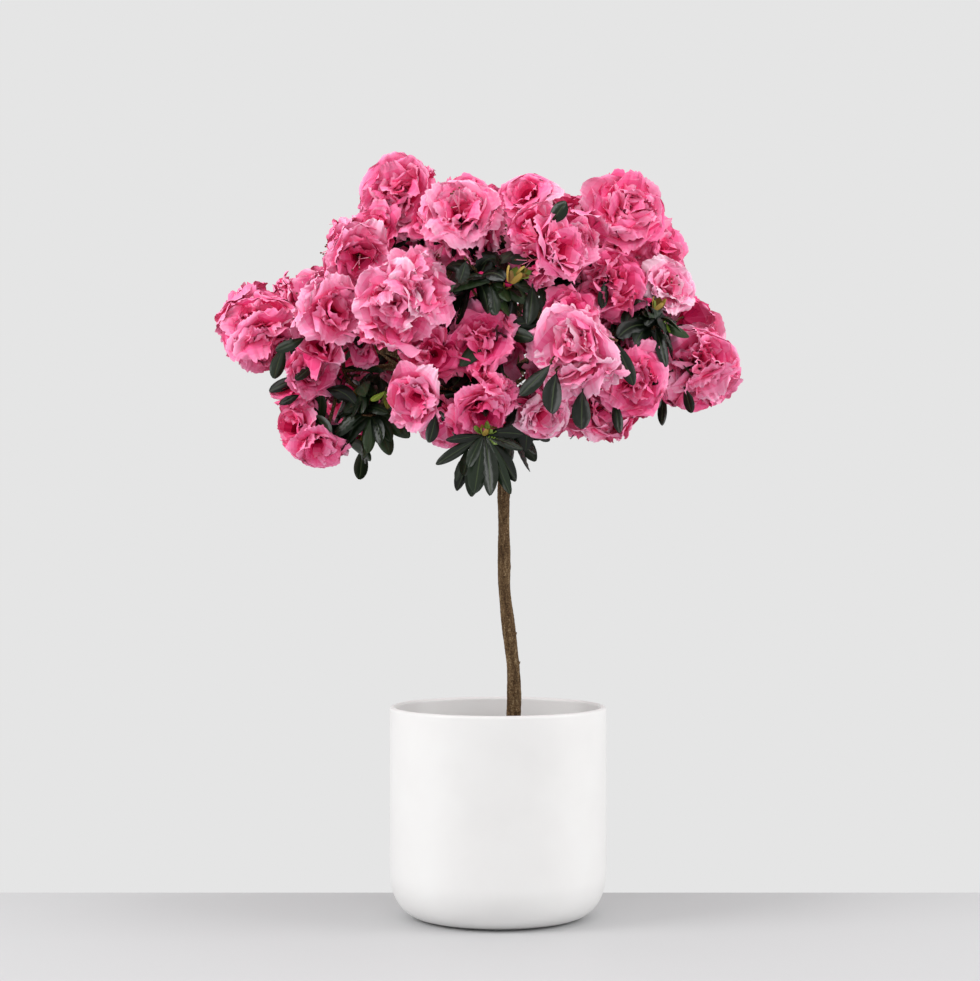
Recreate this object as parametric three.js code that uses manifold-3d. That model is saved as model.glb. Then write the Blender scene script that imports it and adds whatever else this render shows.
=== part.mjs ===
// A double-flowered azalea trained on one bare stem, standing in a plain white pot.
//
// Millimetres, +Z up. The origin is the centre of the pot's flat underside, and -Y is the
// front of the plant. Every limb and every mass of bloom or leaf is a solid of its own, and
// neighbours that meet keep a hairline gap between them.

import * as THREE from 'three';
import * as BufferGeometryUtils from 'three/addons/utils/BufferGeometryUtils.js';
import Module from 'manifold-3d';

const wasm = await Module();
wasm.setup();

// ---------------------------------------------------------------------------------------
// Driving dimensions
// ---------------------------------------------------------------------------------------

const GAP = 0.4;
const WELD_DISTANCE = 1e-4;
const SMALLEST_OVERLAP = 1e-6;

const POT = {
  radius: 90,
  height: 175,
  wall: 5,
  floor: 9,
  baseRadius: 65,
  cornerHeight: 37,
  footRadius: 62,
  footHeight: 1.2,
  facets: 32,
  outerSteps: 5,
  innerSteps: 2,
  rimSteps: 3,
};

const SOIL_DEPTH_BELOW_RIM = 30;
const SOIL_LEVEL = POT.height - SOIL_DEPTH_BELOW_RIM;

// The stem's curve starts a little way down in the compost, and is cut flat at its surface.
const TRUNK_BURIED = 4;
const FORK_HEIGHT = 452;
const TRUNK = {
  bends: [
    [12.5, 0, SOIL_LEVEL - TRUNK_BURIED],
    [13, 0, 200],
    [10, 1, 230],
    [5.5, 2, 270],
    [5, 1, 315],
    [4.5, 0, 350],
    [5, 0, 390],
    [3, 2, FORK_HEIGHT],
  ],
  footRadius: 5.8,
  tipRadius: 4.2,
  flare: 5,
  flareHeight: 7,
  sides: 10,
  rings: 14,
  searchSteps: 200,
};

// A bough's knee is where it bends, as a share of the way out, and it is lifted by the rise,
// as a share of how far the bough reaches.
const BOUGH = {
  lowestStart: 422,
  footRadius: 3.6,
  tipRadius: 1.8,
  knee: 0.45,
  rise: 0.15,
  sides: 6,
  rings: 4,
};

const MASS = {
  facetsRound: 12,
  facetsUp: 7,
  lumps: 9,
  lumpHeight: 0.34,
  lumpSharpness: 5,
  narrowest: 0.35,
};

// A plain multiplying random sequence, started apart for each mass.
const RANDOM = { spread: 7919, start: 13, factor: 16807, modulus: 2147483647 };

const COLOURS = {
  glaze: { color: 0xf1f1f0, roughness: 0.45, metalness: 0 },
  compost: { color: 0x3a2a20, roughness: 0.95, metalness: 0 },
  bark: { color: 0x6b4a33, roughness: 0.85, metalness: 0 },
  bloom: { color: 0xec6d9c, roughness: 0.6, metalness: 0 },
  leaf: { color: 0x24352a, roughness: 0.4, metalness: 0 },
};

// Each mass is placed round the pot's axis: turn in degrees (0 to the right, 90 to the back,
// -90 to the front), reach out from the axis and height above the table. Size is its full
// width, depth and height.
const MASSES = {
  top_left: { turn: -146, reach: 91, height: 588, size: [72, 96, 76] },
  top_middle: { turn: -135, reach: 36, height: 581, size: [78, 128, 66] },
  top_back: { turn: -38, reach: 52, height: 573, size: [92, 130, 66] },
  top_centre: { turn: -104, reach: 122, height: 560, size: [86, 66, 72] },
  top_right: { turn: -29, reach: 110, height: 571, size: [72, 84, 80] },
  top_right_front: { turn: -64, reach: 146, height: 547, size: [54, 50, 56] },
  left_shoulder: { turn: -143, reach: 140, height: 542, size: [70, 76, 62] },
  left_tip: { turn: -168, reach: 197, height: 487, size: [76, 80, 82] },
  left_arm: { turn: -139, reach: 176, height: 492, size: [80, 74, 74] },
  left_low: { turn: -153, reach: 174, height: 443, size: [68, 68, 56] },
  left_hanging: { turn: -150, reach: 164, height: 400, size: [64, 62, 54] },
  left_leaves: { turn: -138, reach: 136, height: 413, size: [62, 68, 100], leafy: true },
  front_left: { turn: -116, reach: 164, height: 500, size: [80, 76, 92] },
  front_low_left: { turn: -110, reach: 156, height: 431, size: [60, 66, 68] },
  front_low: { turn: -97, reach: 152, height: 423, size: [66, 66, 72] },
  front_middle: { turn: -93, reach: 136, height: 469, size: [80, 66, 72] },
  front_leaves: { turn: -92, reach: 138, height: 509, size: [76, 62, 66], leafy: true },
  front_upper: { turn: -78, reach: 147, height: 531, size: [66, 66, 84] },
  front_right: { turn: -68, reach: 162, height: 465, size: [78, 76, 90] },
  low_middle: { turn: -76, reach: 110, height: 423, size: [56, 72, 54] },
  right_middle: { turn: -49, reach: 126, height: 511, size: [80, 78, 68] },
  right_shoulder: { turn: -24, reach: 141, height: 513, size: [60, 78, 60] },
  right_leaves: { turn: -42, reach: 160, height: 482, size: [70, 66, 42], leafy: true },
  right_low: { turn: -46, reach: 148, height: 444, size: [68, 74, 72] },
  right_tip: { turn: -15, reach: 168, height: 456, size: [70, 96, 76] },
  back_top_left: { turn: 141, reach: 91, height: 560, size: [118, 126, 92] },
  back_top: { turn: 78, reach: 86, height: 565, size: [112, 118, 88] },
  back_top_right: { turn: 18, reach: 112, height: 546, size: [108, 126, 90] },
  back_left: { turn: 167, reach: 155, height: 497, size: [112, 126, 94] },
  back_outer_left: { turn: 128, reach: 162, height: 490, size: [108, 98, 98] },
  back_middle: { turn: 94, reach: 156, height: 498, size: [106, 94, 98] },
  back_outer_right: { turn: 60, reach: 160, height: 489, size: [106, 98, 98] },
  back_right: { turn: 17, reach: 156, height: 477, size: [98, 120, 96] },
  back_low_left: { turn: 148, reach: 142, height: 432, size: [98, 98, 74] },
  back_low: { turn: 104, reach: 136, height: 428, size: [98, 98, 72] },
  back_low_right: { turn: 56, reach: 140, height: 430, size: [98, 98, 74] },
  stem_top_leaves: { turn: -100, reach: 48, height: 384, size: [86, 104, 76], leafy: true },
};

// Each bough leaves the top of the trunk and runs out to the mass that hides its end.
const BOUGHS = {
  bough_left: 'left_tip',
  bough_front_left: 'front_left',
  bough_right: 'right_tip',
  bough_back_left: 'back_outer_left',
  bough_front_right: 'front_right',
  bough_back: 'back_middle',
  bough_lower_left: 'left_low',
  bough_back_right: 'back_outer_right',
  bough_front: 'front_upper',
  bough_upper_left: 'top_left',
  bough_upper_right: 'top_right',
  bough_leader: 'top_middle',
};

// ---------------------------------------------------------------------------------------
// Solids
// ---------------------------------------------------------------------------------------

function toSolid(geometry) {
  const bare = geometry.clone();
  bare.deleteAttribute('normal');
  bare.deleteAttribute('uv');
  const merged = BufferGeometryUtils.mergeVertices(bare, WELD_DISTANCE);
  return new wasm.Manifold(new wasm.Mesh({
    numProp: 3,
    vertProperties: merged.attributes.position.array,
    triVerts: new Uint32Array(merged.index.array),
  }));
}

function toGeometry(solid) {
  const mesh = solid.getMesh();
  const geometry = new THREE.BufferGeometry();
  geometry.setAttribute('position', new THREE.BufferAttribute(mesh.vertProperties, 3));
  geometry.setIndex(new THREE.BufferAttribute(mesh.triVerts, 1));
  geometry.computeVertexNormals();
  return geometry;
}

// A cut can leave crumbs on its far side, so only the largest body of the result is kept.
function largestBody(solid) {
  const bodies = solid.decompose();
  bodies.sort((a, b) => b.volume() - a.volume());
  return bodies[0];
}

function overlap(a, b) {
  return a.intersect(b).volume() > SMALLEST_OVERLAP;
}

// The mass with a gap's width more all round, for the boughs to stop at.
function grown(mass) {
  const { x, y, z } = mass.centre;
  const factor = 1 + GAP / (Math.min(...mass.size) * MASS.narrowest);
  return mass.solid.translate([-x, -y, -z]).scale(factor).translate([x, y, z]);
}

// ---------------------------------------------------------------------------------------
// Pot and compost
// ---------------------------------------------------------------------------------------

// A quarter of an ellipse from the underside out and up to the straight wall.
function cornerProfile(radius, baseRadius, bottom, top, steps) {
  const points = [];
  for (let step = 0; step <= steps; step++) {
    const angle = (step / steps) * Math.PI / 2;
    points.push(new THREE.Vector2(
      baseRadius + (radius - baseRadius) * Math.sin(angle),
      bottom + (top - bottom) * (1 - Math.cos(angle)),
    ));
  }
  return points;
}

function rimProfile() {
  const middle = POT.radius - POT.wall / 2;
  const round = POT.wall / 2;
  const points = [];
  for (let step = 0; step <= POT.rimSteps; step++) {
    const angle = (step / POT.rimSteps) * Math.PI;
    points.push(new THREE.Vector2(
      middle + round * Math.cos(angle),
      POT.height - round + round * Math.sin(angle),
    ));
  }
  return points;
}

function outerProfile() {
  return cornerProfile(
    POT.radius,
    POT.baseRadius,
    POT.footHeight,
    POT.cornerHeight,
    POT.outerSteps,
  );
}

function innerProfile(clearance) {
  return cornerProfile(
    POT.radius - POT.wall - clearance,
    POT.baseRadius - POT.wall - clearance,
    POT.floor + clearance,
    POT.cornerHeight + clearance,
    POT.innerSteps,
  );
}

function spun(profile) {
  return new THREE.LatheGeometry(profile, POT.facets).rotateX(Math.PI / 2);
}

function potSolid() {
  const profile = [
    new THREE.Vector2(0, 0),
    new THREE.Vector2(POT.footRadius, 0),
    new THREE.Vector2(POT.footRadius, POT.footHeight),
    ...outerProfile(),
    ...rimProfile(),
    ...innerProfile(0).reverse(),
    new THREE.Vector2(0, POT.floor),
  ];
  return toSolid(spun(profile));
}

function soilSolid() {
  const radius = POT.radius - POT.wall - GAP;
  const profile = [
    new THREE.Vector2(0, POT.floor + GAP),
    ...innerProfile(GAP),
    new THREE.Vector2(radius, SOIL_LEVEL),
    new THREE.Vector2(0, SOIL_LEVEL),
  ];
  return toSolid(spun(profile));
}

// ---------------------------------------------------------------------------------------
// Limbs
// ---------------------------------------------------------------------------------------

// A capped cylinder bent along a curve, with its radius taken from how far along it is.
function limbSolid(curve, radiusAt, sides, rings) {
  const geometry = new THREE.CylinderGeometry(1, 1, 1, sides, rings);
  const frames = curve.computeFrenetFrames(rings);
  const position = geometry.attributes.position;
  for (let i = 0; i < position.count; i++) {
    const along = position.getY(i) + 0.5;
    const ring = Math.round(along * rings);
    const radius = radiusAt(along);
    const point = curve.getPointAt(ring / rings);
    point.addScaledVector(frames.normals[ring], position.getX(i) * radius);
    point.addScaledVector(frames.binormals[ring], -position.getZ(i) * radius);
    position.setXYZ(i, point.x, point.y, point.z);
  }
  return toSolid(geometry);
}

const trunkCurve = new THREE.CatmullRomCurve3(
  TRUNK.bends.map((bend) => new THREE.Vector3(...bend)),
);

function trunkSolid(extra) {
  const length = trunkCurve.getLength();
  const radiusAt = (along) => {
    const flare = TRUNK.flare * Math.exp(-along * length / TRUNK.flareHeight);
    return THREE.MathUtils.lerp(TRUNK.footRadius, TRUNK.tipRadius, along) + flare + extra;
  };
  const whole = limbSolid(trunkCurve, radiusAt, TRUNK.sides, TRUNK.rings);
  return whole.trimByPlane([0, 0, 1], SOIL_LEVEL + GAP);
}

function boughSolid(bough, extra) {
  const radiusAt = (along) => (
    THREE.MathUtils.lerp(BOUGH.footRadius, BOUGH.tipRadius, along) + extra
  );
  return limbSolid(bough.curve, radiusAt, BOUGH.sides, BOUGH.rings);
}

// Boughs start one above another up the top of the trunk and bow upwards on their way out.
function makeBoughs(masses) {
  const names = Object.keys(BOUGHS);
  return names.map((name, index) => {
    const target = masses.find((mass) => mass.name === BOUGHS[name]);
    const height = THREE.MathUtils.mapLinear(
      index, 0, names.length - 1, BOUGH.lowestStart, FORK_HEIGHT,
    );
    const start = trunkPointAt(height);
    const end = target.centre;
    const knee = start.clone().lerp(end, BOUGH.knee);
    knee.z += BOUGH.rise * Math.hypot(end.x - start.x, end.y - start.y);
    return { name, target, curve: new THREE.QuadraticBezierCurve3(start, knee, end) };
  });
}

function trunkPointAt(height) {
  for (let step = 0; step <= TRUNK.searchSteps; step++) {
    const point = trunkCurve.getPointAt(step / TRUNK.searchSteps);
    if (point.z >= height) return point;
  }
  return trunkCurve.getPointAt(1);
}

// ---------------------------------------------------------------------------------------
// Masses of bloom and leaf
// ---------------------------------------------------------------------------------------

function seededRandom(seed) {
  let state = seed * RANDOM.spread + RANDOM.start;
  return () => {
    state = (state * RANDOM.factor) % RANDOM.modulus;
    return state / RANDOM.modulus;
  };
}

function randomDirection(random) {
  const z = random() * 2 - 1;
  const angle = random() * Math.PI * 2;
  const flat = Math.sqrt(1 - z * z);
  return new THREE.Vector3(flat * Math.cos(angle), flat * Math.sin(angle), z);
}

// A ball with a seeded set of rounded lumps on it, stretched to fill the size exactly.
function massSolid(centre, size, seed) {
  const random = seededRandom(seed);
  const lumps = Array.from({ length: MASS.lumps }, () => randomDirection(random));
  const geometry = new THREE.SphereGeometry(1, MASS.facetsRound, MASS.facetsUp);
  geometry.rotateX(random() * Math.PI).rotateZ(random() * Math.PI);
  const position = geometry.attributes.position;
  const direction = new THREE.Vector3();
  for (let i = 0; i < position.count; i++) {
    direction.fromBufferAttribute(position, i).normalize();
    let radius = 1;
    for (const lump of lumps) {
      const facing = Math.max(0, direction.dot(lump));
      radius += MASS.lumpHeight * facing ** MASS.lumpSharpness;
    }
    direction.multiplyScalar(radius);
    position.setXYZ(i, direction.x, direction.y, direction.z);
  }
  geometry.center();
  geometry.computeBoundingBox();
  const full = geometry.boundingBox.getSize(new THREE.Vector3());
  geometry.scale(size[0] / full.x, size[1] / full.y, size[2] / full.z);
  geometry.translate(centre.x, centre.y, centre.z);
  return toSolid(geometry);
}

function makeMasses() {
  return Object.entries(MASSES).map(([name, spec], index) => {
    const turn = THREE.MathUtils.degToRad(spec.turn);
    const centre = new THREE.Vector3(
      spec.reach * Math.cos(turn),
      spec.reach * Math.sin(turn),
      spec.height,
    );
    return { name, centre, ...spec, solid: massSolid(centre, spec.size, index + 1) };
  });
}

// Two masses that meet are parted by the plane half way through their overlap.
function partMasses(first, second) {
  if (!overlap(first.solid, second.solid)) return;
  const normal = second.centre.clone().sub(first.centre).normalize();
  const direction = normal.toArray();
  const shared = first.solid.intersect(second.solid).boundingBox();
  const middle = new THREE.Vector3(...shared.min).add(new THREE.Vector3(...shared.max));
  const offset = middle.multiplyScalar(0.5).dot(normal);
  const away = direction.map((value) => -value);
  first.solid = first.solid.trimByPlane(away, -(offset - GAP / 2));
  second.solid = second.solid.trimByPlane(direction, offset + GAP / 2);
}

function partAllMasses(masses) {
  masses.forEach((first, index) => {
    masses.slice(index + 1).forEach((second) => partMasses(first, second));
  });
}

// ---------------------------------------------------------------------------------------
// Assembly
// ---------------------------------------------------------------------------------------

const plant = new THREE.Group();

function addPart(name, solid, finish) {
  const mesh = new THREE.Mesh(toGeometry(solid), new THREE.MeshStandardMaterial(finish));
  mesh.name = name;
  plant.add(mesh);
}

const masses = makeMasses();
partAllMasses(masses);
const boughs = makeBoughs(masses);

const trunkHole = trunkSolid(GAP);
const boughHoles = boughs.map((bough) => boughSolid(bough, GAP));

addPart('pot', potSolid(), COLOURS.glaze);
addPart('potting_soil', soilSolid(), COLOURS.compost);
addPart('trunk', trunkSolid(0), COLOURS.bark);

boughs.forEach((bough, index) => {
  let solid = boughSolid(bough, 0).subtract(trunkHole).subtract(grown(bough.target));
  boughHoles.slice(0, index).forEach((hole) => {
    solid = solid.subtract(hole);
  });
  addPart(bough.name, largestBody(solid), COLOURS.bark);
});

masses.forEach((mass) => {
  let solid = mass.solid.subtract(trunkHole);
  boughs.forEach((bough, index) => {
    if (bough.target !== mass) solid = solid.subtract(boughHoles[index]);
  });
  addPart(mass.name, largestBody(solid), mass.leafy ? COLOURS.leaf : COLOURS.bloom);
});

export default plant;
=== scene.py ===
"""A double pink azalea on one bare stem, in a plain white pot.

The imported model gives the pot, the limbs and the masses of the crown. This script dresses
them: a glazed pot, crumbly compost, ridged bark, and a crown in which boughs branch into
twigs that end in sprays of leaves and in ruffled blooms. Sizes in the classes are in
millimetres and degrees, except the studio's, and meshes are made in metres.
"""

import logging
import math
from collections import defaultdict
from dataclasses import dataclass, field, replace
from enum import Enum
from functools import partial
from typing import Any, Callable, Iterable, Sequence

import bpy
import numpy as np
from mathutils.bvhtree import BVHTree
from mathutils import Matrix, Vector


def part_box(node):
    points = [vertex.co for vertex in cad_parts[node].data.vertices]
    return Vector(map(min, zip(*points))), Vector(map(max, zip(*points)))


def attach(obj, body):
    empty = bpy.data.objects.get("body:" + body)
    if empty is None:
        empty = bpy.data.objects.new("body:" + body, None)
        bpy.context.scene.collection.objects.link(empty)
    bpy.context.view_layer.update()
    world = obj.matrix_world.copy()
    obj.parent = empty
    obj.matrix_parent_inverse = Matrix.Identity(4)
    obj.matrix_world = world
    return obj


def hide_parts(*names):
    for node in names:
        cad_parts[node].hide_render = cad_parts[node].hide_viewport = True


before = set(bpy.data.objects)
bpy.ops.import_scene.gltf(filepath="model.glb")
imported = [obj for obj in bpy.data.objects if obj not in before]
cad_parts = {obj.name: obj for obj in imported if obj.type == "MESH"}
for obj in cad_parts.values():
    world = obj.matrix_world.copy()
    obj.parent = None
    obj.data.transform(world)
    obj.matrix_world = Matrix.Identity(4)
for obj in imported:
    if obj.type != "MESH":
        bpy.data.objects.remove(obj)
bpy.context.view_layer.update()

Array = np.ndarray
Random = np.random.Generator
Material = bpy.types.Material
Tree = bpy.types.NodeTree
Socket = bpy.types.NodeSocket

MM = 0.001
ROOT = "root"
UP = np.array([0.0, 0.0, 1.0])
# The turn from one leaf of a spray to the next, in radians.
GOLDEN_TURN = 2.39996
log = logging.getLogger("azalea")


# ---- Small sums ----


def linear(hex_colour: str) -> tuple[float, float, float, float]:
    """Turns an sRGB hex colour into linear light.

    Args:
        hex_colour: Six hex digits after a hash.

    Returns:
        Red, green, blue and an alpha of one.
    """
    parts = [int(hex_colour[i : i + 2], 16) / 255 for i in (1, 3, 5)]
    light = [p / 12.92 if p <= 0.04045 else ((p + 0.055) / 1.055) ** 2.4 for p in parts]
    return (*light, 1.0)


def smooth(low: float, high: float, value: Array) -> Array:
    """Rises gently from 0 at low to 1 at high.

    Args:
        low: Where the rise starts.
        high: Where it ends.
        value: What is tested.

    Returns:
        Numbers from 0 to 1, in the shape of value.
    """
    part = np.clip((value - low) / (high - low), 0, 1)
    return part * part * (3 - 2 * part)


def unit(vector: Array) -> Array:
    """Gives the vector, or each row of vectors, a length of one."""
    return vector / np.maximum(np.linalg.norm(vector, axis=-1, keepdims=True), 1e-9)


def across(direction: Array) -> tuple[Array, Array]:
    """Finds two unit vectors square to a direction and to each other.

    Args:
        direction: A unit vector.

    Returns:
        The two vectors, which make a right-handed set with the direction.
    """
    helper = UP if abs(direction[2]) < 0.9 else np.array([1.0, 0.0, 0.0])
    first = unit(np.cross(helper, direction))
    return first, np.cross(direction, first)


def random_unit(rng: Random) -> Array:
    """Draws a direction with no preference."""
    return unit(rng.normal(size=3))


def new_seed(rng: Random) -> int:
    """Draws the seed of one bloom, bud or spray."""
    return int(rng.integers(1, 10**6))


def way_round(first: Array, second: Array, turn: float) -> Array:
    """Points away from an axis at a turn from the first of two vectors across it."""
    return np.cos(turn) * first + np.sin(turn) * second


def stand(spot: Sequence[float], axis: Sequence[float]) -> tuple[Array, Array]:
    """Turns a place in millimetres and a direction into metres and a unit vector."""
    return np.array(spot) * MM, unit(np.array(axis))


def bend(points: Array, count: int) -> Array:
    """Draws a smooth line through points, evenly spaced along it.

    Args:
        points: The points, one a row.
        count: How many points the smooth line has.

    Returns:
        The points of the smooth line.
    """
    padded = np.vstack([2 * points[0] - points[1], points, 2 * points[-1] - points[-2]])
    line = []
    for a, b, c, d in zip(padded, padded[1:], padded[2:], padded[3:]):
        for t in np.linspace(0, 1, 12, endpoint=False):
            curve = 2 * b + (c - a) * t + (2 * a - 5 * b + 4 * c - d) * t**2
            line.append((curve + (3 * b - 3 * c + d - a) * t**3) / 2)
    line = np.array([*line, points[-1]])
    steps = np.linalg.norm(np.diff(line, axis=0), axis=1)
    travelled = np.concatenate([[0], np.cumsum(steps)])
    wanted = np.linspace(0, travelled[-1], count)
    return np.column_stack([np.interp(wanted, travelled, line[:, i]) for i in range(3)])


# ---- Finishes ----


def add_node(
    tree: Tree,
    kind: str,
    inputs: dict[Any, Any] | None = None,
    **settings: Any,
) -> bpy.types.Node:
    """Adds a node to a tree, with its settings, values and links.

    Args:
        tree: The tree that gets the node.
        kind: The node's type name.
        inputs: A value, or a socket to link from, for each named input.
        **settings: The node's own properties.

    Returns:
        The new node.
    """
    made = tree.nodes.new(kind)
    for name, value in settings.items():
        setattr(made, name, value)
    for name, value in (inputs or {}).items():
        if isinstance(value, Socket):
            tree.links.new(value, made.inputs[name])
        else:
            made.inputs[name].default_value = value
    return made


def new_object(name: str, data: Any) -> bpy.types.Object:
    """Adds an object with its data to the scene.

    Args:
        name: The object's name.
        data: Its mesh, light or camera.

    Returns:
        The new object.
    """
    made = bpy.data.objects.new(name, data)
    bpy.context.scene.collection.objects.link(made)
    return made


def new_material(name: str) -> tuple[Material, Tree]:
    """Starts an empty node material.

    Args:
        name: The material's name.

    Returns:
        The material and its node tree.
    """
    material = bpy.data.materials.new(name)
    material.use_nodes = True
    material.node_tree.nodes.clear()
    return material, material.node_tree


def close_material(tree: Tree, values: dict[str, Any]) -> None:
    """Adds the shader with its values, and links it to the material's output."""
    shader = add_node(tree, "ShaderNodeBsdfPrincipled", values)
    add_node(tree, "ShaderNodeOutputMaterial", {"Surface": shader.outputs[0]})


def own_place(tree: Tree) -> Socket:
    """Gives the place on the piece, in its own metres."""
    return add_node(tree, "ShaderNodeTexCoord").outputs["Object"]


def noise(
    tree: Tree,
    where: Socket,
    size_mm: float,
    detail: float,
    roughness: float = 0.5,
) -> Socket:
    """Adds a pattern of soft patches.

    Args:
        tree: The material's node tree.
        where: The place that is looked up.
        size_mm: How large the widest patches are.
        detail: How many finer layers lie over them.
        roughness: How strong the finer layers are.

    Returns:
        Its value, from 0 to 1.
    """
    inputs = {
        "Vector": where,
        "Scale": 1 / (size_mm * MM),
        "Detail": detail,
        "Roughness": roughness,
    }
    return add_node(tree, "ShaderNodeTexNoise", inputs).outputs["Fac"]


def stretched(tree: Tree, value: Socket, low: float, high: float) -> Socket:
    """Stretches a value until low gives 0 and high gives 1.

    Args:
        tree: The material's node tree.
        value: The value.
        low: What gives 0.
        high: What gives 1.

    Returns:
        The stretched value.
    """
    inputs = {"Value": value, "From Min": low, "From Max": high}
    return add_node(tree, "ShaderNodeMapRange", inputs).outputs["Result"]


def relief_of(tree: Tree, height: Socket, strength: float, depth_mm: float) -> Socket:
    """Turns a pattern into fine relief.

    Args:
        tree: The material's node tree.
        height: The pattern.
        strength: How much of the relief shows, up to 1.
        depth_mm: How deep it is.

    Returns:
        The direction in which the surface then faces.
    """
    inputs = {"Strength": strength, "Distance": depth_mm * MM, "Height": height}
    return add_node(tree, "ShaderNodeBump", inputs).outputs["Normal"]


def blend_of(tree: Tree, factor: Socket, colours: Sequence[str]) -> Socket:
    """Spreads hex colours evenly over a factor.

    Args:
        tree: The material's node tree.
        factor: Runs from 0 to 1.
        colours: The colours, from the factor's low end to its high end.

    Returns:
        The colour socket.
    """
    ramp = add_node(tree, "ShaderNodeValToRGB", {"Fac": factor})
    stops = ramp.color_ramp.elements
    while len(stops) < len(colours):
        stops.new(0.5)
    for index, colour in enumerate(colours):
        stops[index].position = index / (len(colours) - 1)
        stops[index].color = linear(colour)
    return ramp.outputs["Color"]


@dataclass(frozen=True)
class Tissue:
    """Living plant tissue: one even colour that is dealt out face by face."""

    name: str
    colour: str
    roughness: float
    ior: float = 1.42
    specular: float = 0.5

    def material(self) -> Material:
        """Makes the material, with every value on the shader's own socket."""
        material, tree = new_material(self.name)
        values = {
            "Base Color": linear(self.colour),
            "Roughness": self.roughness,
            "IOR": self.ior,
            "Specular IOR Level": self.specular,
        }
        close_material(tree, values)
        material.diffuse_color = linear(self.colour)
        return material


@dataclass(frozen=True)
class MattGlaze:
    """White matt glaze, dipped and fired on stoneware: an even, faintly dimpled white."""

    name: str = "matt_white_glaze"
    whites: tuple[str, ...] = ("#E6E5E4", "#EBEAE9", "#EEEEED")
    cloud_mm: float = 40.0
    dimple_mm: float = 1.6
    dimple_depth_mm: float = 0.1
    relief: float = 0.05
    roughness: float = 0.42
    ior: float = 1.5

    def material(self) -> Material:
        """Makes the material: faint clouds in the white and a fine dimpled skin."""
        material, tree = new_material(self.name)
        where = own_place(tree)
        clouds = noise(tree, where, self.cloud_mm, detail=3.0)
        dimples = noise(tree, where, self.dimple_mm, detail=2.0)
        values = {
            "Base Color": blend_of(tree, clouds, self.whites),
            "Roughness": self.roughness,
            "IOR": self.ior,
            "Normal": relief_of(tree, dimples, self.relief, self.dimple_depth_mm),
        }
        close_material(tree, values)
        return material


@dataclass(frozen=True)
class Bark:
    """Thin brown azalea bark, split lengthwise: paler ridges over dark, dry cracks."""

    name: str
    colours: tuple[str, ...] = ("#302012", "#4C3822", "#6B5439", "#988465")
    streak_mm: float = 2.2
    stretch: float = 7.0
    fleck_mm: float = 1.2
    crack_depth_mm: float = 0.4
    relief: float = 0.6
    darkest: float = 0.72
    palest: float = 1.28
    roughness: float = 0.82
    ior: float = 1.4
    specular: float = 0.3

    def material(self) -> Material:
        """Makes the material: streaks that run up the limb, flecks, and dry cracks."""
        material, tree = new_material(self.name)
        where = own_place(tree)
        drawn_out = add_node(
            tree,
            "ShaderNodeMapping",
            {"Vector": where, "Scale": (1.0, 1.0, 1 / self.stretch)},
        )
        streaks = noise(tree, drawn_out.outputs["Vector"], self.streak_mm, 5.0, 0.65)
        flecks = noise(tree, where, self.fleck_mm, detail=4.0)
        both = {0: streaks, 1: flecks}
        mixed = add_node(tree, "ShaderNodeMath", both, operation="ADD").outputs[0]
        shade = stretched(tree, mixed, self.darkest, self.palest)
        values = {
            "Base Color": blend_of(tree, shade, self.colours),
            "Roughness": self.roughness,
            "IOR": self.ior,
            "Specular IOR Level": self.specular,
            "Normal": relief_of(tree, mixed, self.relief, self.crack_depth_mm),
        }
        close_material(tree, values)
        return material


@dataclass(frozen=True)
class PeatCompost:
    """Damp peat and bark compost, sieved and firmed: dark, rough and crumbly."""

    name: str = "damp_peat_compost"
    browns: tuple[str, ...] = ("#150E09", "#2A1C13", "#3F2C1E", "#5A432F")
    crumb_mm: float = 3.0
    crumb_depth_mm: float = 0.8
    relief: float = 0.8
    darkest: float = 0.35
    palest: float = 0.68
    roughness: float = 0.92
    ior: float = 1.4
    specular: float = 0.25

    def material(self) -> Material:
        """Makes the material: dark browns in crumbs, with a rough broken surface."""
        material, tree = new_material(self.name)
        crumbs = noise(tree, own_place(tree), self.crumb_mm, detail=6.0, roughness=0.7)
        shade = stretched(tree, crumbs, self.darkest, self.palest)
        values = {
            "Base Color": blend_of(tree, shade, self.browns),
            "Roughness": self.roughness,
            "IOR": self.ior,
            "Specular IOR Level": self.specular,
            "Normal": relief_of(tree, crumbs, self.relief, self.crumb_depth_mm),
        }
        close_material(tree, values)
        return material


# Petals are thin and velvety. Light that falls into their folds comes back deeper, and the
# deepest tones of the throat are partly painted shade of those folds. The tones run from the
# rose of the throat to the pale outer half, with a painted pale band and a painted darker rim
# at the margin.
PETAL_COLOURS = (
    *("#9A063A", "#AA0B43", "#B8124D", "#C61A58", "#D22462", "#DC306D", "#E53D78", "#EC4B84"),
    *("#F1598F", "#F4679B", "#F777A6", "#F987B2", "#FB97BE", "#FCA9CA", "#FDBCD7", "#FECFE2"),
)
PETALS = tuple(
    Tissue(f"azalea_petal_{i}", colour, roughness=0.7, specular=0.12)
    for i, colour in enumerate(PETAL_COLOURS)
)
STAMENS = (
    Tissue("stamen_filament", "#F2A0BC", roughness=0.5),
    Tissue("stamen_anther", "#6B3A22", roughness=0.7),
)

# Azalea leaves are leathery, with a waxed face that shines softly over dark green. The
# near-black greens are partly painted shade, for leaves deep in the crown.
# The last three are the sunken midrib and the yellow-green of young growth.
LEAF_COLOURS = ("#0C120A", "#121B10", "#182415", "#202F1A", "#2B3C21")
LEAVES = (
    *(
        Tissue(f"azalea_leaf_{i}", colour, roughness=0.33, ior=1.45, specular=0.34)
        for i, colour in enumerate(LEAF_COLOURS)
    ),
    Tissue("leaf_midrib", "#333F26", roughness=0.45, ior=1.45, specular=0.3),
    Tissue("young_leaf", "#6F8A2C", roughness=0.42, ior=1.45),
    Tissue("young_leaf_rib", "#9DB04A", roughness=0.45, ior=1.45),
)
MIDRIB = len(LEAF_COLOURS)
YOUNG_LEAF = MIDRIB + 1

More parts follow.
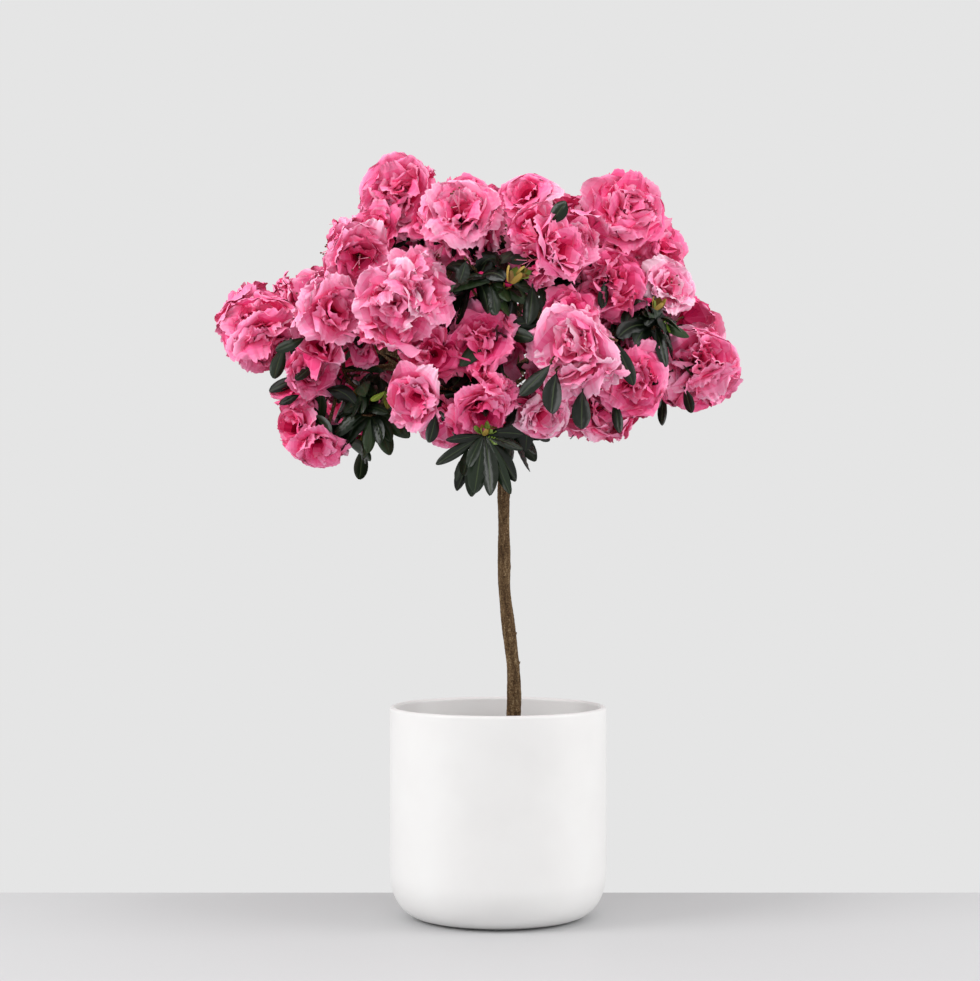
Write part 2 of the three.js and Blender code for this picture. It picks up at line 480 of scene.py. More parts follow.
# Bud scales are papery and dry, from straw to brown.
BUD_SCALES = (
    Tissue("bud_scale_straw", "#A58A3C", roughness=0.6),
    Tissue("bud_scale_brown", "#7A5A2A", roughness=0.65),
    Tissue("bud_scale_green", "#7E9440", roughness=0.55),
)


# ---- Joined meshes ----


@dataclass
class Heap:
    """Grids of points from many small things, joined into one mesh."""

    points: list[Array] = field(default_factory=list)
    quads: list[Array] = field(default_factory=list)
    slots: list[Array] = field(default_factory=list)
    count: int = 0

    def add_grid(self, grid: Array, slots: Array | int = 0, closed: bool = False) -> None:
        """Adds a grid of points with a face in each cell.

        Args:
            grid: Points as rows by columns by three, in metres.
            slots: A material number for all, or one for each cell.
            closed: Whether the last column joins the first, as on a tube.
        """
        rows, columns = grid.shape[:2]
        wide = columns if closed else columns - 1
        low, left = np.meshgrid(np.arange(rows - 1), np.arange(wide), indexing="ij")
        right = (left + 1) % columns
        corners = (
            low * columns + left,
            low * columns + right,
            (low + 1) * columns + right,
            (low + 1) * columns + left,
        )
        self.quads.append(np.stack(corners, -1).reshape(-1, 4) + self.count)
        self.points.append(grid.reshape(-1, 3))
        self.slots.append(np.broadcast_to(slots, low.shape).reshape(-1))
        self.count += rows * columns

    def add_tube(self, line: Array, radii: Array, sides: int, slot: int = 0) -> None:
        """Adds a round tube along a line of points.

        Args:
            line: The line's points, in metres.
            radii: The radius at each point, in metres.
            sides: How many faces go round it.
            slot: Its material number.
        """
        self.add_grid(tube_grid(line, radii, sides), slot, closed=True)

    def make(self, name: str, finishes: Iterable[Any]) -> bpy.types.Object:
        """Makes the joined mesh object.

        Args:
            name: The piece's name.
            finishes: What gives each material slot its material.

        Returns:
            The new object, in the scene.
        """
        points = np.concatenate(self.points).astype(np.float32)
        quads = np.concatenate(self.quads).astype(np.int32)
        slots = np.concatenate(self.slots).astype(np.int32)
        mesh = bpy.data.meshes.new(name)
        mesh.vertices.add(len(points))
        mesh.vertices.foreach_set("co", points.ravel())
        mesh.loops.add(quads.size)
        mesh.loops.foreach_set("vertex_index", quads.ravel())
        mesh.polygons.add(len(quads))
        starts = np.arange(0, quads.size, 4, dtype=np.int32)
        mesh.polygons.foreach_set("loop_start", starts)
        mesh.polygons.foreach_set("material_index", slots)
        mesh.polygons.foreach_set("use_smooth", np.ones(len(quads), dtype=bool))
        mesh.update(calc_edges=True)
        mesh.validate()
        for finish in finishes:
            mesh.materials.append(shared_material(finish))
        log.info("%s: %d faces", name, len(quads))
        return new_object(name, mesh)


def shared_material(finish: Any) -> Material:
    """Makes a finish's material the first time, and finds it again after that."""
    return bpy.data.materials.get(finish.name) or finish.material()


def tube_grid(line: Array, radii: Array, sides: int) -> Array:
    """Works out rings of points round a line, without twist.

    Args:
        line: The line's points.
        radii: The radius at each point, or at each point and side.
        sides: How many points go round each ring.

    Returns:
        Points as rings by sides by three.
    """
    tangents = unit(np.gradient(line, axis=0))
    first, _ = across(tangents[0])
    angles = np.linspace(0, 2 * np.pi, sides, endpoint=False)
    rings = []
    for index, (point, tangent) in enumerate(zip(line, tangents)):
        first = unit(first - tangent * np.dot(first, tangent))
        second = np.cross(tangent, first)
        ring = np.outer(np.cos(angles), first) + np.outer(np.sin(angles), second)
        rings.append(point + ring * np.reshape(radii[index], (-1, 1)))
    return np.array(rings)


def place(
    piece: bpy.types.Object, nodes: Sequence[str] = ()
) -> bpy.types.Object:
    """Fixes a piece to the plant, and hides the CAD nodes that it stands for.

    Args:
        piece: The finished piece.
        nodes: The CAD nodes that it replaces.

    Returns:
        The same piece.
    """
    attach(piece, ROOT)
    if nodes:
        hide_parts(*nodes)
    return piece


# ---- Blooms ----


@dataclass(frozen=True)
class Whorl:
    """One ring of petals in a bloom, and how finely they are drawn."""

    count: int
    length: float
    width: float
    lean_foot: float
    lean_tip: float
    ruffle: float
    crumple: float
    tone: float
    rows: int = 8
    columns: int = 15
    heads: int = 1


class Stage(Enum):
    """How far a bloom has opened, as its whorls from the outermost in."""

    FULL = (
        Whorl(6, 35, 38, 44, 94, 2.6, 1.4, 0.7, rows=10, columns=23),
        Whorl(5, 31, 35, 36, 74, 2.8, 1.8, 0.5, rows=9, columns=21),
        Whorl(5, 26, 29, 26, 58, 2.8, 2.2, 0.2, rows=8, columns=17),
        Whorl(5, 22, 21, 12, 46, 2.8, 2.6, -0.3, rows=7, columns=11),
    )
    CUPPED = (
        Whorl(5, 37, 39, 30, 70, 2.8, 1.6, 0.7, rows=10, columns=23),
        Whorl(5, 33, 35, 24, 58, 3.0, 2.0, 0.4, rows=9, columns=21),
        Whorl(5, 29, 28, 16, 46, 3.0, 2.4, 0.0, rows=8, columns=15),
        Whorl(4, 25, 21, 8, 36, 2.8, 2.6, -0.4, rows=7, columns=11),
    )
    ROSETTE = (
        Whorl(5, 27, 32, 34, 82, 1.9, 0.8, 0.4, rows=9, columns=21),
        Whorl(5, 24, 28, 28, 60, 1.7, 0.9, 0.2, rows=8, columns=17),
        Whorl(5, 21, 22, 18, 44, 1.5, 0.9, 0.0),
        Whorl(5, 18, 17, 12, 30, 1.4, 0.9, -0.3, rows=7, columns=11),
        Whorl(4, 16, 12, 5, 16, 1.1, 0.7, -0.6, rows=7, columns=9),
    )
    CRUMPLED = (
        Whorl(6, 35, 38, 46, 94, 3.0, 1.8, 0.6, rows=9, columns=21),
        Whorl(5, 31, 33, 36, 74, 3.4, 2.4, 0.5, rows=9, columns=19),
        Whorl(4, 25, 25, 18, 56, 2.8, 2.2, 0.2, rows=8, columns=13, heads=3),
        Whorl(3, 21, 18, 6, 34, 2.6, 2.6, -0.4, rows=7, columns=11, heads=3),
    )
    FILLER = (
        Whorl(6, 32, 34, 40, 84, 3.0, 2.0, 0.4, rows=7, columns=15),
        Whorl(5, 28, 28, 24, 58, 3.2, 2.6, 0.0, rows=6, columns=11),
        Whorl(4, 23, 20, 8, 38, 3.0, 2.8, -0.4, rows=6, columns=9),
    )


@dataclass
class PetalShape:
    """How the outline, the folds and the colour of every petal run."""

    claw: float = 0.16
    shoulder: float = 0.6
    taper: float = 0.36
    round_off: float = 0.25
    teeth: float = 0.032
    lobes: float = 0.028
    notch: float = 0.05
    lean_spread: float = 12.0
    outside_tone: float = 6.0

    def grid(self, whorl: Whorl, rng: Random) -> Array:
        """Works out one petal, standing on the flower's axis.

        Args:
            whorl: The sizes of the petal's ring.
            rng: The source of its own wobble.

        Returns:
            Points as rows by columns by three: across, outward and up the axis, in mm.
        """
        up, side = np.meshgrid(
            self.row_heights(whorl), np.linspace(-1, 1, whorl.columns), indexing="ij"
        )
        phase = rng.uniform(0, 2 * np.pi, 10)
        length = whorl.length * rng.uniform(0.88, 1.1)
        width = whorl.width * rng.uniform(0.88, 1.1)

        swell = np.sin(np.pi / 2 * np.clip(up / self.shoulder, 0, 1)) ** 1.1
        half = width / 2 * (self.claw + (1 - self.claw) * swell)
        half = half * (1 - self.taper * smooth(self.shoulder, 1.0, up))
        nibble = rng.uniform(-1, 1, (whorl.rows, 2)) * self.teeth * 1.6
        half[:, 0] *= 1 + nibble[:, 0]
        half[:, -1] *= 1 + nibble[:, 1]
        reach = up * (1 - self.round_off * side**2 * up**2)
        reach = reach * (1 - self.notch * np.exp(-((side / 0.2) ** 2)) * up**5)
        teeth = self.teeth * rng.uniform(-1, 1, whorl.columns)
        teeth = teeth + self.lobes * np.sin(9.5 * side + phase[1]) * np.abs(side) ** 0.3
        reach = reach * (1 + teeth * smooth(0.8, 1.0, up))

        lean_tip = whorl.lean_tip + rng.normal(0, self.lean_spread)
        lean_foot = whorl.lean_foot + rng.normal(0, 4)
        curl = rng.normal(12, 20) * smooth(0.62, 1.0, up)
        lean = np.radians(lean_foot + (lean_tip - lean_foot) * reach**1.2 + curl)
        step = np.diff(reach, axis=0, prepend=0) * length
        outward = 1.5 + np.cumsum(np.sin(lean) * step, axis=0)
        along = np.cumsum(np.cos(lean) * step, axis=0)

        x = half * side
        twist = np.radians(rng.normal(0, 14)) * up
        lift = x * np.sin(twist)
        x = x * np.cos(twist)
        edge = smooth(0.3, 1.0, up) * (0.35 + 0.65 * np.abs(side))
        waves = rng.uniform(1.2, 2.2)
        ruffle = np.sin(np.pi * waves * side + phase[3])
        ruffle = ruffle + 0.4 * np.sin(np.pi * waves * 2.6 * side + phase[4] + 2 * up)
        ruffle = ruffle + 0.55 * np.sin(6.5 * up + phase[5]) * side
        lift = lift + whorl.ruffle * edge * ruffle * rng.uniform(0.6, 1.2)
        crease = np.sin(2.6 * side + 3.4 * up + phase[6]) * np.sin(4.5 * up + phase[7])
        lift = lift + whorl.crumple * smooth(0.1, 0.6, up) * crease
        frill = 0.8 * np.sin(19 * side + phase[8]) * smooth(0.65, 1.0, up)
        lift = lift + frill
        outward = outward - 0.3 * x**2 / (outward + 8)
        outward = outward - np.cos(lean) * lift
        along = along + np.sin(lean) * lift
        return np.stack([x, outward, along], -1)

    def row_heights(self, whorl: Whorl) -> Array:
        """Spaces a petal's rows, closer together towards its rim."""
        even = np.linspace(0, 1, whorl.rows)
        return np.sin(even * np.pi / 2) ** 0.85

    def tones(self, whorl: Whorl, is_outer: bool, tone: float, rng: Random) -> Array:
        """Chooses a tone for each face: deep in the throat, partly as painted shade, pale at
        the rim.

        Args:
            whorl: The petal's ring.
            is_outer: Whether it is the outermost ring, whose back can be seen.
            tone: How much paler than usual this bloom is.
            rng: The source of small differences.

        Returns:
            Material numbers as rows by columns.
        """
        rows = self.row_heights(whorl)
        up = ((rows[1:] + rows[:-1]) / 2)[:, None]
        side = (np.arange(whorl.columns - 1) + 0.5) / (whorl.columns - 1) * 2 - 1
        # Deep tones near the foot are partly painted shade of the folds in the throat; pale
        # ones lie outward.
        value = np.repeat(1.5 + 9.4 * smooth(0.02, 0.94, up), len(side), axis=1)
        if is_outer:
            value = np.maximum(value, self.outside_tone)
        value = value - 1.6 * np.exp(-((side / 0.25) ** 2)) * (1 - up)
        value = value + rng.normal(0, 0.5, len(side)) * (1 - up**3)
        value = value + 1.5 * (tone + whorl.tone + rng.normal(0, 0.55))
        # Painted light: a paler band just inside the margin for light through the thin edge,
        # and painted shade along the very edge.
        value[-2] += 0.9
        value[-1] -= 0.7
        return np.clip(np.round(value), 0, len(PETALS) - 1).astype(int)


@dataclass
class Bloom:
    """One double azalea bloom: rings of ruffled petals and a few stamens."""

    foot: Array
    axis: Array
    stage: Stage
    scale: float
    tone: float
    seed: int
    is_fine: bool = True
    head_spread: float = 0.55
    ring_turn: float = 0.63
    columns_spared: int = 6
    fewest_columns: int = 9
    stamen_count: int = 5
    filament_radius: float = 0.32
    shape: PetalShape = field(default_factory=PetalShape)

    def add_to(self, petals: Heap, stamens: Heap, fitted: Callable[[Array], Array]) -> None:
        """Adds the bloom's petals and stamens to their heaps.

        Args:
            petals: The heap of petals.
            stamens: The heap of stamens.
            fitted: Draws points in to the outline of the crown.
        """
        rng = np.random.default_rng(self.seed)
        first, second = across(self.axis)
        start = rng.uniform(0, 2 * np.pi)
        for ring, whorl in enumerate(self.stage.value):
            if not self.is_fine:
                columns = max(whorl.columns - self.columns_spared, self.fewest_columns)
                whorl = replace(whorl, columns=columns)
            for head in range(whorl.heads):
                axis = self.axis
                if whorl.heads > 1:
                    turn = start + head / whorl.heads * 2 * np.pi
                    aside = way_round(first, second, turn)
                    axis = unit(self.axis + self.head_spread * aside)
                ways = across(axis)
                for index in range(whorl.count):
                    part = (index + rng.normal(0, 0.12)) / whorl.count
                    turn = start + ring * self.ring_turn + head + part * 2 * np.pi
                    outward = way_round(*ways, turn)
                    sideways = np.cross(axis, outward)
                    local = self.shape.grid(whorl, rng) * (self.scale * MM)
                    grid = (
                        self.foot
                        + local[..., :1] * sideways
                        + local[..., 1:2] * outward
                        + local[..., 2:] * axis
                    )
                    tones = self.shape.tones(whorl, ring == 0, self.tone, rng)
                    petals.add_grid(fitted(grid), tones)
        if self.stage is Stage.FULL:
            self.add_stamens(stamens, rng)

    def add_stamens(self, stamens: Heap, rng: Random) -> None:
        """Adds a few thin filaments, each with its anther.

        Args:
            stamens: The heap of stamens.
            rng: The source of their spread.
        """
        for _ in range(self.stamen_count):
            lean = self.axis + 0.35 * random_unit(rng)
            length = rng.uniform(19, 25) * self.scale * MM
            tip = self.foot + unit(lean) * length
            middle = self.foot + self.axis * length * 0.55
            line = bend(np.array([self.foot, middle, tip]), 6)
            stamens.add_tube(line, np.full(6, self.filament_radius * MM), 4, 0)
            swell = np.array([0.1, 0.75, 0.8, 0.1]) * MM
            anther = tip + np.outer(np.linspace(-0.3, 1.6, 4) * MM, unit(lean))
            stamens.add_tube(anther, swell, 5, 1)


@dataclass
class Bud:
    """A pointed bud: papery scales, with wrapped petals out of them once it swells."""

    foot: Array
    axis: Array
    length: float
    width: float
    seed: int
    is_swollen: bool = True
    scale_count: int = 6
    scale_turn: float = 2.4

    def add_to(self, petals: Heap, scales: Heap) -> None:
        """Adds the bud's wrapped petals and its scales to their heaps.

        Args:
            petals: The heap of petals.
            scales: The heap of bud scales.
        """
        rng = np.random.default_rng(self.seed)
        up = np.linspace(0, 1, 9)
        line = self.foot + np.outer(up * self.length * MM, self.axis)
        swell = np.sin(np.pi * np.clip(up * 0.93 + 0.05, 0, 1)) ** 0.8
        turns = np.linspace(0, 2 * np.pi, 15, endpoint=False)
        fold = 1 + 0.14 * np.cos(5 * turns[None, :] + 4 * up[:, None])
        radii = self.width / 2 * MM * np.maximum(swell, 0.04)[:, None] * fold
        tones = np.round(3.2 + 2.2 * up[:-1, None] + rng.normal(0, 0.4, (8, 15)))
        if self.is_swollen:
            petals.add_grid(tube_grid(line, radii, 15), tones.astype(int), closed=True)
        first, second = across(self.axis)
        for index in range(self.scale_count):
            turn = index * self.scale_turn + rng.normal(0, 0.2)
            outward = way_round(first, second, turn)
            sideways = np.cross(self.axis, outward)
            height, side = np.meshgrid(
                np.linspace(0, 1, 6), np.linspace(-1, 1, 5), indexing="ij"
            )
            size = self.width * (0.95 - 0.05 * index)
            half = size * 0.42 * np.sin(np.pi * (0.12 + 0.86 * height)) ** 0.7
            belly = size * (0.32 + 0.34 * np.sin(np.pi * 0.55 * height))
            grid = (
                self.foot
                + (half * side * MM)[..., None] * sideways
                + ((belly - 0.12 * size * side**2) * MM)[..., None] * outward
                + ((height * size * 1.15 - 2) * MM)[..., None] * self.axis
            )
            scales.add_grid(grid, int(rng.integers(0, 3)))


# ---- Leaves ----


@dataclass(frozen=True)
class LeafShape:
    """The outline and relief of an azalea leaf: oblong, blunt, with sunken veins."""

    rows: int = 11
    sides: tuple[float, ...] = (-1.0, -0.72, -0.4, -0.07, 0.07, 0.4, 0.72, 1.0)
    roll: float = 0.2
    vein: float = 0.34
    midrib: float = 0.55
    stalk: float = 0.07

    def add_leaf(
        self,
        heap: Heap,
        foot: Array,
        heading: Array,
        facing: Array,
        length: float,
        width: float,
        droop: float,
        tone: int,
        rng: Random,
    ) -> None:
        """Adds one leaf that leaves its twig along a heading and bends down.

        Args:
            heap: The heap of leaves.
            foot: Where the leaf stalk starts, in metres.
            heading: The direction that it sets off in.
            facing: The way that its upper face looks.
            length: The blade's length.
            width: The blade's width.
            droop: How far it bends towards the ground, from 0 to 1.
            tone: Its material number.
            rng: The source of its own wobble.
        """
        up = (1 - np.cos(np.linspace(0, np.pi, self.rows))) / 2
        up = 0.6 * up + 0.4 * np.linspace(0, 1, self.rows)
        sway = random_unit(rng) * 0.2
        path = unit(heading + np.outer(up, sway - UP * droop))
        steps = np.diff(up)[:, None] * length * MM
        line = foot + np.concatenate([[np.zeros(3)], np.cumsum(path[1:] * steps, axis=0)])
        sideways = unit(np.cross(path, facing + 0.3 * random_unit(rng)))
        face = np.cross(sideways, path)

        blade = np.clip((up - self.stalk) / (1 - self.stalk), 0, 1)
        outline = np.sin(np.pi * np.clip(blade, 0.004, 0.994) ** 1.18) ** 0.55
        half = (width / 2 * np.maximum(outline, 0.09))[:, None]
        side = np.array(self.sides)[None, :]
        ribs = np.where(np.arange(self.rows) % 2 == 0, 1.0, -1.0)[:, None]
        lift = -self.roll * half * side**2 * 1.3
        lift = lift + self.vein * ribs * np.sin(np.pi * np.abs(side)) * outline[:, None]
        lift = lift - self.midrib * np.exp(-((side / 0.22) ** 2)) * outline[:, None]
        lift = lift + 0.5 * np.sin(5 * up[:, None] + rng.uniform(0, 6)) * side
        lift = lift + rng.normal(0, 0.13, (self.rows, len(self.sides)))
        grid = (
            line[:, None, :]
            + (half * side * MM)[..., None] * sideways[:, None, :]
            + (lift * MM)[..., None] * face[:, None, :]
        )
        slots = np.full((self.rows - 1, len(self.sides) - 1), tone)
        slots[:, len(self.sides) // 2 - 1] = YOUNG_LEAF + 1 if tone >= YOUNG_LEAF else MIDRIB
        heap.add_grid(grid, slots)


# How common each of the leaf colours is, from the darkest.
LEAF_SHARES = (0.28, 0.3, 0.22, 0.14, 0.06)
LEAF = LeafShape()
FINE_LEAF = LeafShape(
    rows=19,
    vein=0.55,
    sides=(-1.0, -0.78, -0.52, -0.28, -0.07, 0.07, 0.28, 0.52, 0.78, 1.0),
)


@dataclass
class Spray:
    """A whorl of leaves round the end of a twig."""

    foot: Array
    axis: Array
    count: int
    length: float
    spread: float
    droop: float
    young: int
    seed: int
    shape: LeafShape = LEAF
    young_size: float = 0.5

    def add_to(self, leaves: Heap, has_room: Callable[[Array], bool]) -> None:
        """Adds the spray's leaves to their heap, where there is room for them.

        Args:
            leaves: The heap of leaves.
            has_room: Says whether a leaf's tip may be at a point.
        """
        rng = np.random.default_rng(self.seed)
        first, second = across(self.axis)
        start = rng.uniform(0, 2 * np.pi)
        tone = int(rng.choice(MIDRIB, p=LEAF_SHARES))
        for index in range(self.count):
            turn = start + index * GOLDEN_TURN + rng.normal(0, 0.15)
            outward = way_round(first, second, turn)
            lean = np.radians(self.spread + rng.normal(0, 12))
            heading = self.axis * np.cos(lean) + outward * np.sin(lean)
            foot = self.foot - self.axis * rng.uniform(0, 5) * MM
            is_young = index < self.young
            length = self.length * rng.uniform(0.78, 1.12)
            length = length * (self.young_size if is_young else 1.0)
            width = length * rng.uniform(0.33, 0.39)
            droop = self.droop * rng.uniform(0.5, 1.3)
            own = int(np.clip(tone + rng.integers(-1, 2), 0, MIDRIB - 1))
            tip = foot + unit(heading - 0.55 * droop * UP) * length * MM
            if not has_room(tip):
                continue
            shade = YOUNG_LEAF if is_young else own
            facing = unit(self.axis + 0.35 * UP)
            sizes = (length, width, droop, shade)
            self.shape.add_leaf(leaves, foot, heading, facing, *sizes, rng)


# ---- Limbs ----


def limb_line(node: str, start: Array) -> Array:
    """Finds the middle line of a limb from its rings of points.

    Args:
        node: The limb's CAD node.
        start: The end that it grows from.

    Returns:
        A point for each ring, from the start outward, in metres.
    """
    ring_gap = 5 * MM
    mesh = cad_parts[node].data
    points = np.zeros(len(mesh.vertices) * 3)
    mesh.vertices.foreach_get("co", points)
    points = points.reshape(-1, 3)
    far = np.linalg.norm(points - start, axis=1)
    order = np.argsort(far)
    breaks = np.where(np.diff(far[order]) > ring_gap)[0] + 1
    rings = np.split(order, breaks)
    return np.array([points[ring].mean(axis=0) for ring in rings if len(ring) > 2])


@dataclass
class Limb:
    """A round, tapering limb with ridged bark."""

    line: Array
    foot_radius: float
    tip_radius: float
    flare: float = 0.0
    flare_height: float = 8.0
    ridge: float = 0.5
    ridges: int = 7
    row_mm: float = 1.4
    sides: int = 36
    scar_gap: float = 16.0

    def add_to(self, heap: Heap, seed: int) -> None:
        """Adds the limb to a heap, with bark ridges, swellings and old leaf scars.

        Args:
            heap: The heap of bark.
            seed: Sets the limb's own wobble.
        """
        rng = np.random.default_rng(seed)
        lengths = np.linalg.norm(np.diff(self.line, axis=0), axis=1)
        total = lengths.sum() / MM
        rows = max(8, int(total / self.row_mm))
        line = bend(self.line, rows)
        along = np.linspace(0, 1, rows)[:, None]
        height = along * total
        turn = np.linspace(0, 2 * np.pi, self.sides, endpoint=False)[None, :]
        radius = self.foot_radius + (self.tip_radius - self.foot_radius) * along
        lobes = 1 + 0.3 * np.sin(3 * turn + rng.uniform(0, 6))
        radius = radius + self.flare * np.exp(-height / self.flare_height) * lobes
        wander = 0.9 * np.sin(height / 23 + rng.uniform(0, 6)) + height / 60
        cracks = np.abs(np.sin(self.ridges / 2 * (turn + wander)))
        cracks = cracks + 0.5 * np.sin(self.ridges * 1.7 * turn + height / 5)
        radius = radius + self.ridge * 0.5 * (cracks - 0.6)
        radius = radius + 0.3 * np.sin(height / 9 + rng.uniform(0, 6))
        for _ in range(int(total / self.scar_gap)):
            where = rng.uniform(4, total)
            facing = rng.uniform(0, 2 * np.pi)
            near_turn = np.angle(np.exp(1j * (turn - facing)))
            scar = np.exp(-(((height - where) / 1.9) ** 2) - (near_turn / 0.42) ** 2)
            radius = radius + rng.uniform(0.5, 1.5) * scar
        radius = radius + rng.normal(0, 0.07, radius.shape)
        radius[-1] = 0.05
        heap.add_grid(tube_grid(line, radius * MM, self.sides), 0, closed=True)


@dataclass
class Trunk:
    """The bare stem, from its flare at the compost to the fork in the crown."""

    node: str = "trunk"
    foot_radius: float = 5.8
    tip_radius: float = 4.2
    flare: float = 4.6
    stub_reach: tuple[float, ...] = (3.0, 4.8, 6.2, 7.7)
    stub_radii: tuple[float, ...] = (2.2, 1.9, 1.3, 0.1)
    stubs: tuple[tuple[float, float], ...] = ((0.2, 10), (0.29, -15), (0.06, 190))
    seed: int = 11

    def middle(self) -> Array:
        """Finds the trunk's middle line, from the compost up."""
        low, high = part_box(self.node)
        foot = np.array([(low.x + high.x) / 2, (low.y + high.y) / 2, low.z])
        line = limb_line(self.node, foot - 0.05 * UP)
        line[0][2] = low.z
        return line

    def build(self) -> bpy.types.Object:
        """Makes the trunk's bark with the stubs of old shoots on it."""
        heap = Heap()
        line = self.middle()
        limb = Limb(line, self.foot_radius, self.tip_radius, flare=self.flare)
        limb.add_to(heap, self.seed)
        smoothed = bend(line, 101)
        for part, facing in self.stubs:
            base = smoothed[int(part * 100)]
            angle = math.radians(facing)
            outward = unit(np.array([math.cos(angle), math.sin(angle), 0.75]))
            stub = base + np.outer(np.array(self.stub_reach) * MM, outward)
            heap.add_tube(stub, np.array(self.stub_radii) * MM, 9)
        piece = heap.make("trunk_bark", [Bark("stem_bark")])
        return place(piece, [self.node])


@dataclass
class Boughs:
    """The main boughs, which leave the top of the trunk for the masses of the crown."""

    names: Sequence[str]
    foot_radius: float = 3.6
    tip_radius: float = 2.0
    first_seed: int = 40

    def lines(self, trunk: Array) -> dict[str, Array]:
        """Finds each bough's middle line, starting inside the trunk.

        Args:
            trunk: The trunk's middle line.

        Returns:
            A line of points for each bough's name.
        """
        found = {}
        fine = bend(trunk, 120)
        for name in self.names:
            low, high = (np.array(corner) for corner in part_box(name))
            foot = np.array([*(low + high)[:2] / 2, low[2]])
            start = fine[np.argmin(np.linalg.norm(fine - foot, axis=1))]
            line = limb_line(name, start)
            start = fine[np.argmin(np.linalg.norm(fine - line[0], axis=1))]
            found[name] = bend(np.vstack([start, line]), 40)
        return found

    def build(self, lines: dict[str, Array]) -> bpy.types.Object:
        """Makes the boughs' bark.

        Args:
            lines: Each bough's middle line.

        Returns:
            The joined boughs.
        """
        heap = Heap()
        for index, line in enumerate(lines.values()):
            sizes = (line, self.foot_radius, self.tip_radius)
            limb = Limb(*sizes, ridge=0.35, ridges=5, row_mm=2.2, sides=18)
            limb.add_to(heap, self.first_seed + index)
        piece = heap.make("bough_bark", [Bark("bough_bark", streak_mm=1.6)])
        return place(piece, self.names)


# ---- The crown ----


@dataclass
class Mass:
    """One mass of the crown, as its CAD solid gives it."""

    name: str
    leafy: bool
    centre: Array
    half: Array
    reach: Array

    # How finely the solid's outline is measured, over its height and round it.
    HEIGHTS = 25
    TURNS = 48

    @classmethod
    def from_frame(cls, name: str, leafy: bool) -> "Mass":
        """Measures a mass's CAD solid from its middle, in every direction.

        Args:
            name: The mass's CAD node.
            leafy: Whether it carries leaves only.

        Returns:
            The mass.
        """
        low, high = (np.array(corner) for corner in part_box(name))
        centre = (low + high) / 2
        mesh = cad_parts[name].data
        tree = BVHTree.FromPolygons(
            [vertex.co for vertex in mesh.vertices],
            [list(polygon.vertices) for polygon in mesh.polygons],
        )
        reach = np.zeros((cls.HEIGHTS, cls.TURNS))
        for row, tilt in enumerate(np.linspace(0, np.pi, cls.HEIGHTS)):
            for column in range(cls.TURNS):
                turn = column / cls.TURNS * 2 * np.pi
                way = (
                    math.sin(tilt) * math.cos(turn),
                    math.sin(tilt) * math.sin(turn),
                    math.cos(tilt),
                )
                hit = tree.ray_cast(centre, way)[3]
                reach[row, column] = hit if hit else 1 * MM
        return cls(name, leafy, centre, (high - low) / 2, reach)

    def radius(self, ways: Array) -> Array:
        """Looks up how far the solid reaches from its middle along unit directions."""
        tilt = np.arccos(np.clip(ways[..., 2], -1, 1)) / np.pi * (self.HEIGHTS - 1)
        turn = np.arctan2(ways[..., 1], ways[..., 0]) / (2 * np.pi) * self.TURNS
        row = np.clip(np.floor(tilt).astype(int), 0, self.HEIGHTS - 2)
        column = np.floor(turn).astype(int)
        a, b = tilt - row, turn - column
        left, right = column % self.TURNS, (column + 1) % self.TURNS
        upper = self.reach[row, left] * (1 - b) + self.reach[row, right] * b
        lower = self.reach[row + 1, left] * (1 - b) + self.reach[row + 1, right] * b
        return upper * (1 - a) + lower * a

    def depth(self, points: Array) -> Array:
        """Says how deep points are: 0 in the middle, 1 on the solid's outline."""
        away = points - self.centre
        far = np.linalg.norm(away, axis=-1)
        return far / self.radius(away / np.maximum(far, 1e-6)[..., None])


@dataclass
class Site:
    """Where a twig ends, and the way that it faces there."""

    mass: Mass
    foot: Array
    axis: Array


class Quarter(Enum):
    """Parts of the crown whose blooms are joined into one piece each."""

    TOP_FRONT = ("top_left", "top_centre", "top_right", "top_right_front", "left_shoulder")
    LEFT = ("left_tip", "left_arm", "left_low", "left_hanging", "front_left")
    FRONT = (
        *("front_low_left", "front_low", "front_middle", "front_upper", "front_right"),
        "low_middle",
    )
    RIGHT = ("right_middle", "right_shoulder", "right_low", "right_tip")
    TOP_BACK = ("top_middle", "top_back", "back_top_left", "back_top", "back_top_right")
    BACK_LEFT = ("back_left", "back_outer_left", "back_low_left", "back_low")
    BACK_RIGHT = ("back_middle", "back_outer_right", "back_right", "back_low_right")


STEM_TOP = "stem_top_leaves"
LEAFY = ("left_leaves", "front_leaves", "right_leaves", STEM_TOP)


@dataclass(frozen=True)
class Leader:
    """What the leading bloom of a mass looks like, where that is known."""

    axis: tuple[float, float, float]
    stage: Stage = Stage.FULL
    tone: float = 0.0
    scale: float = 1.0
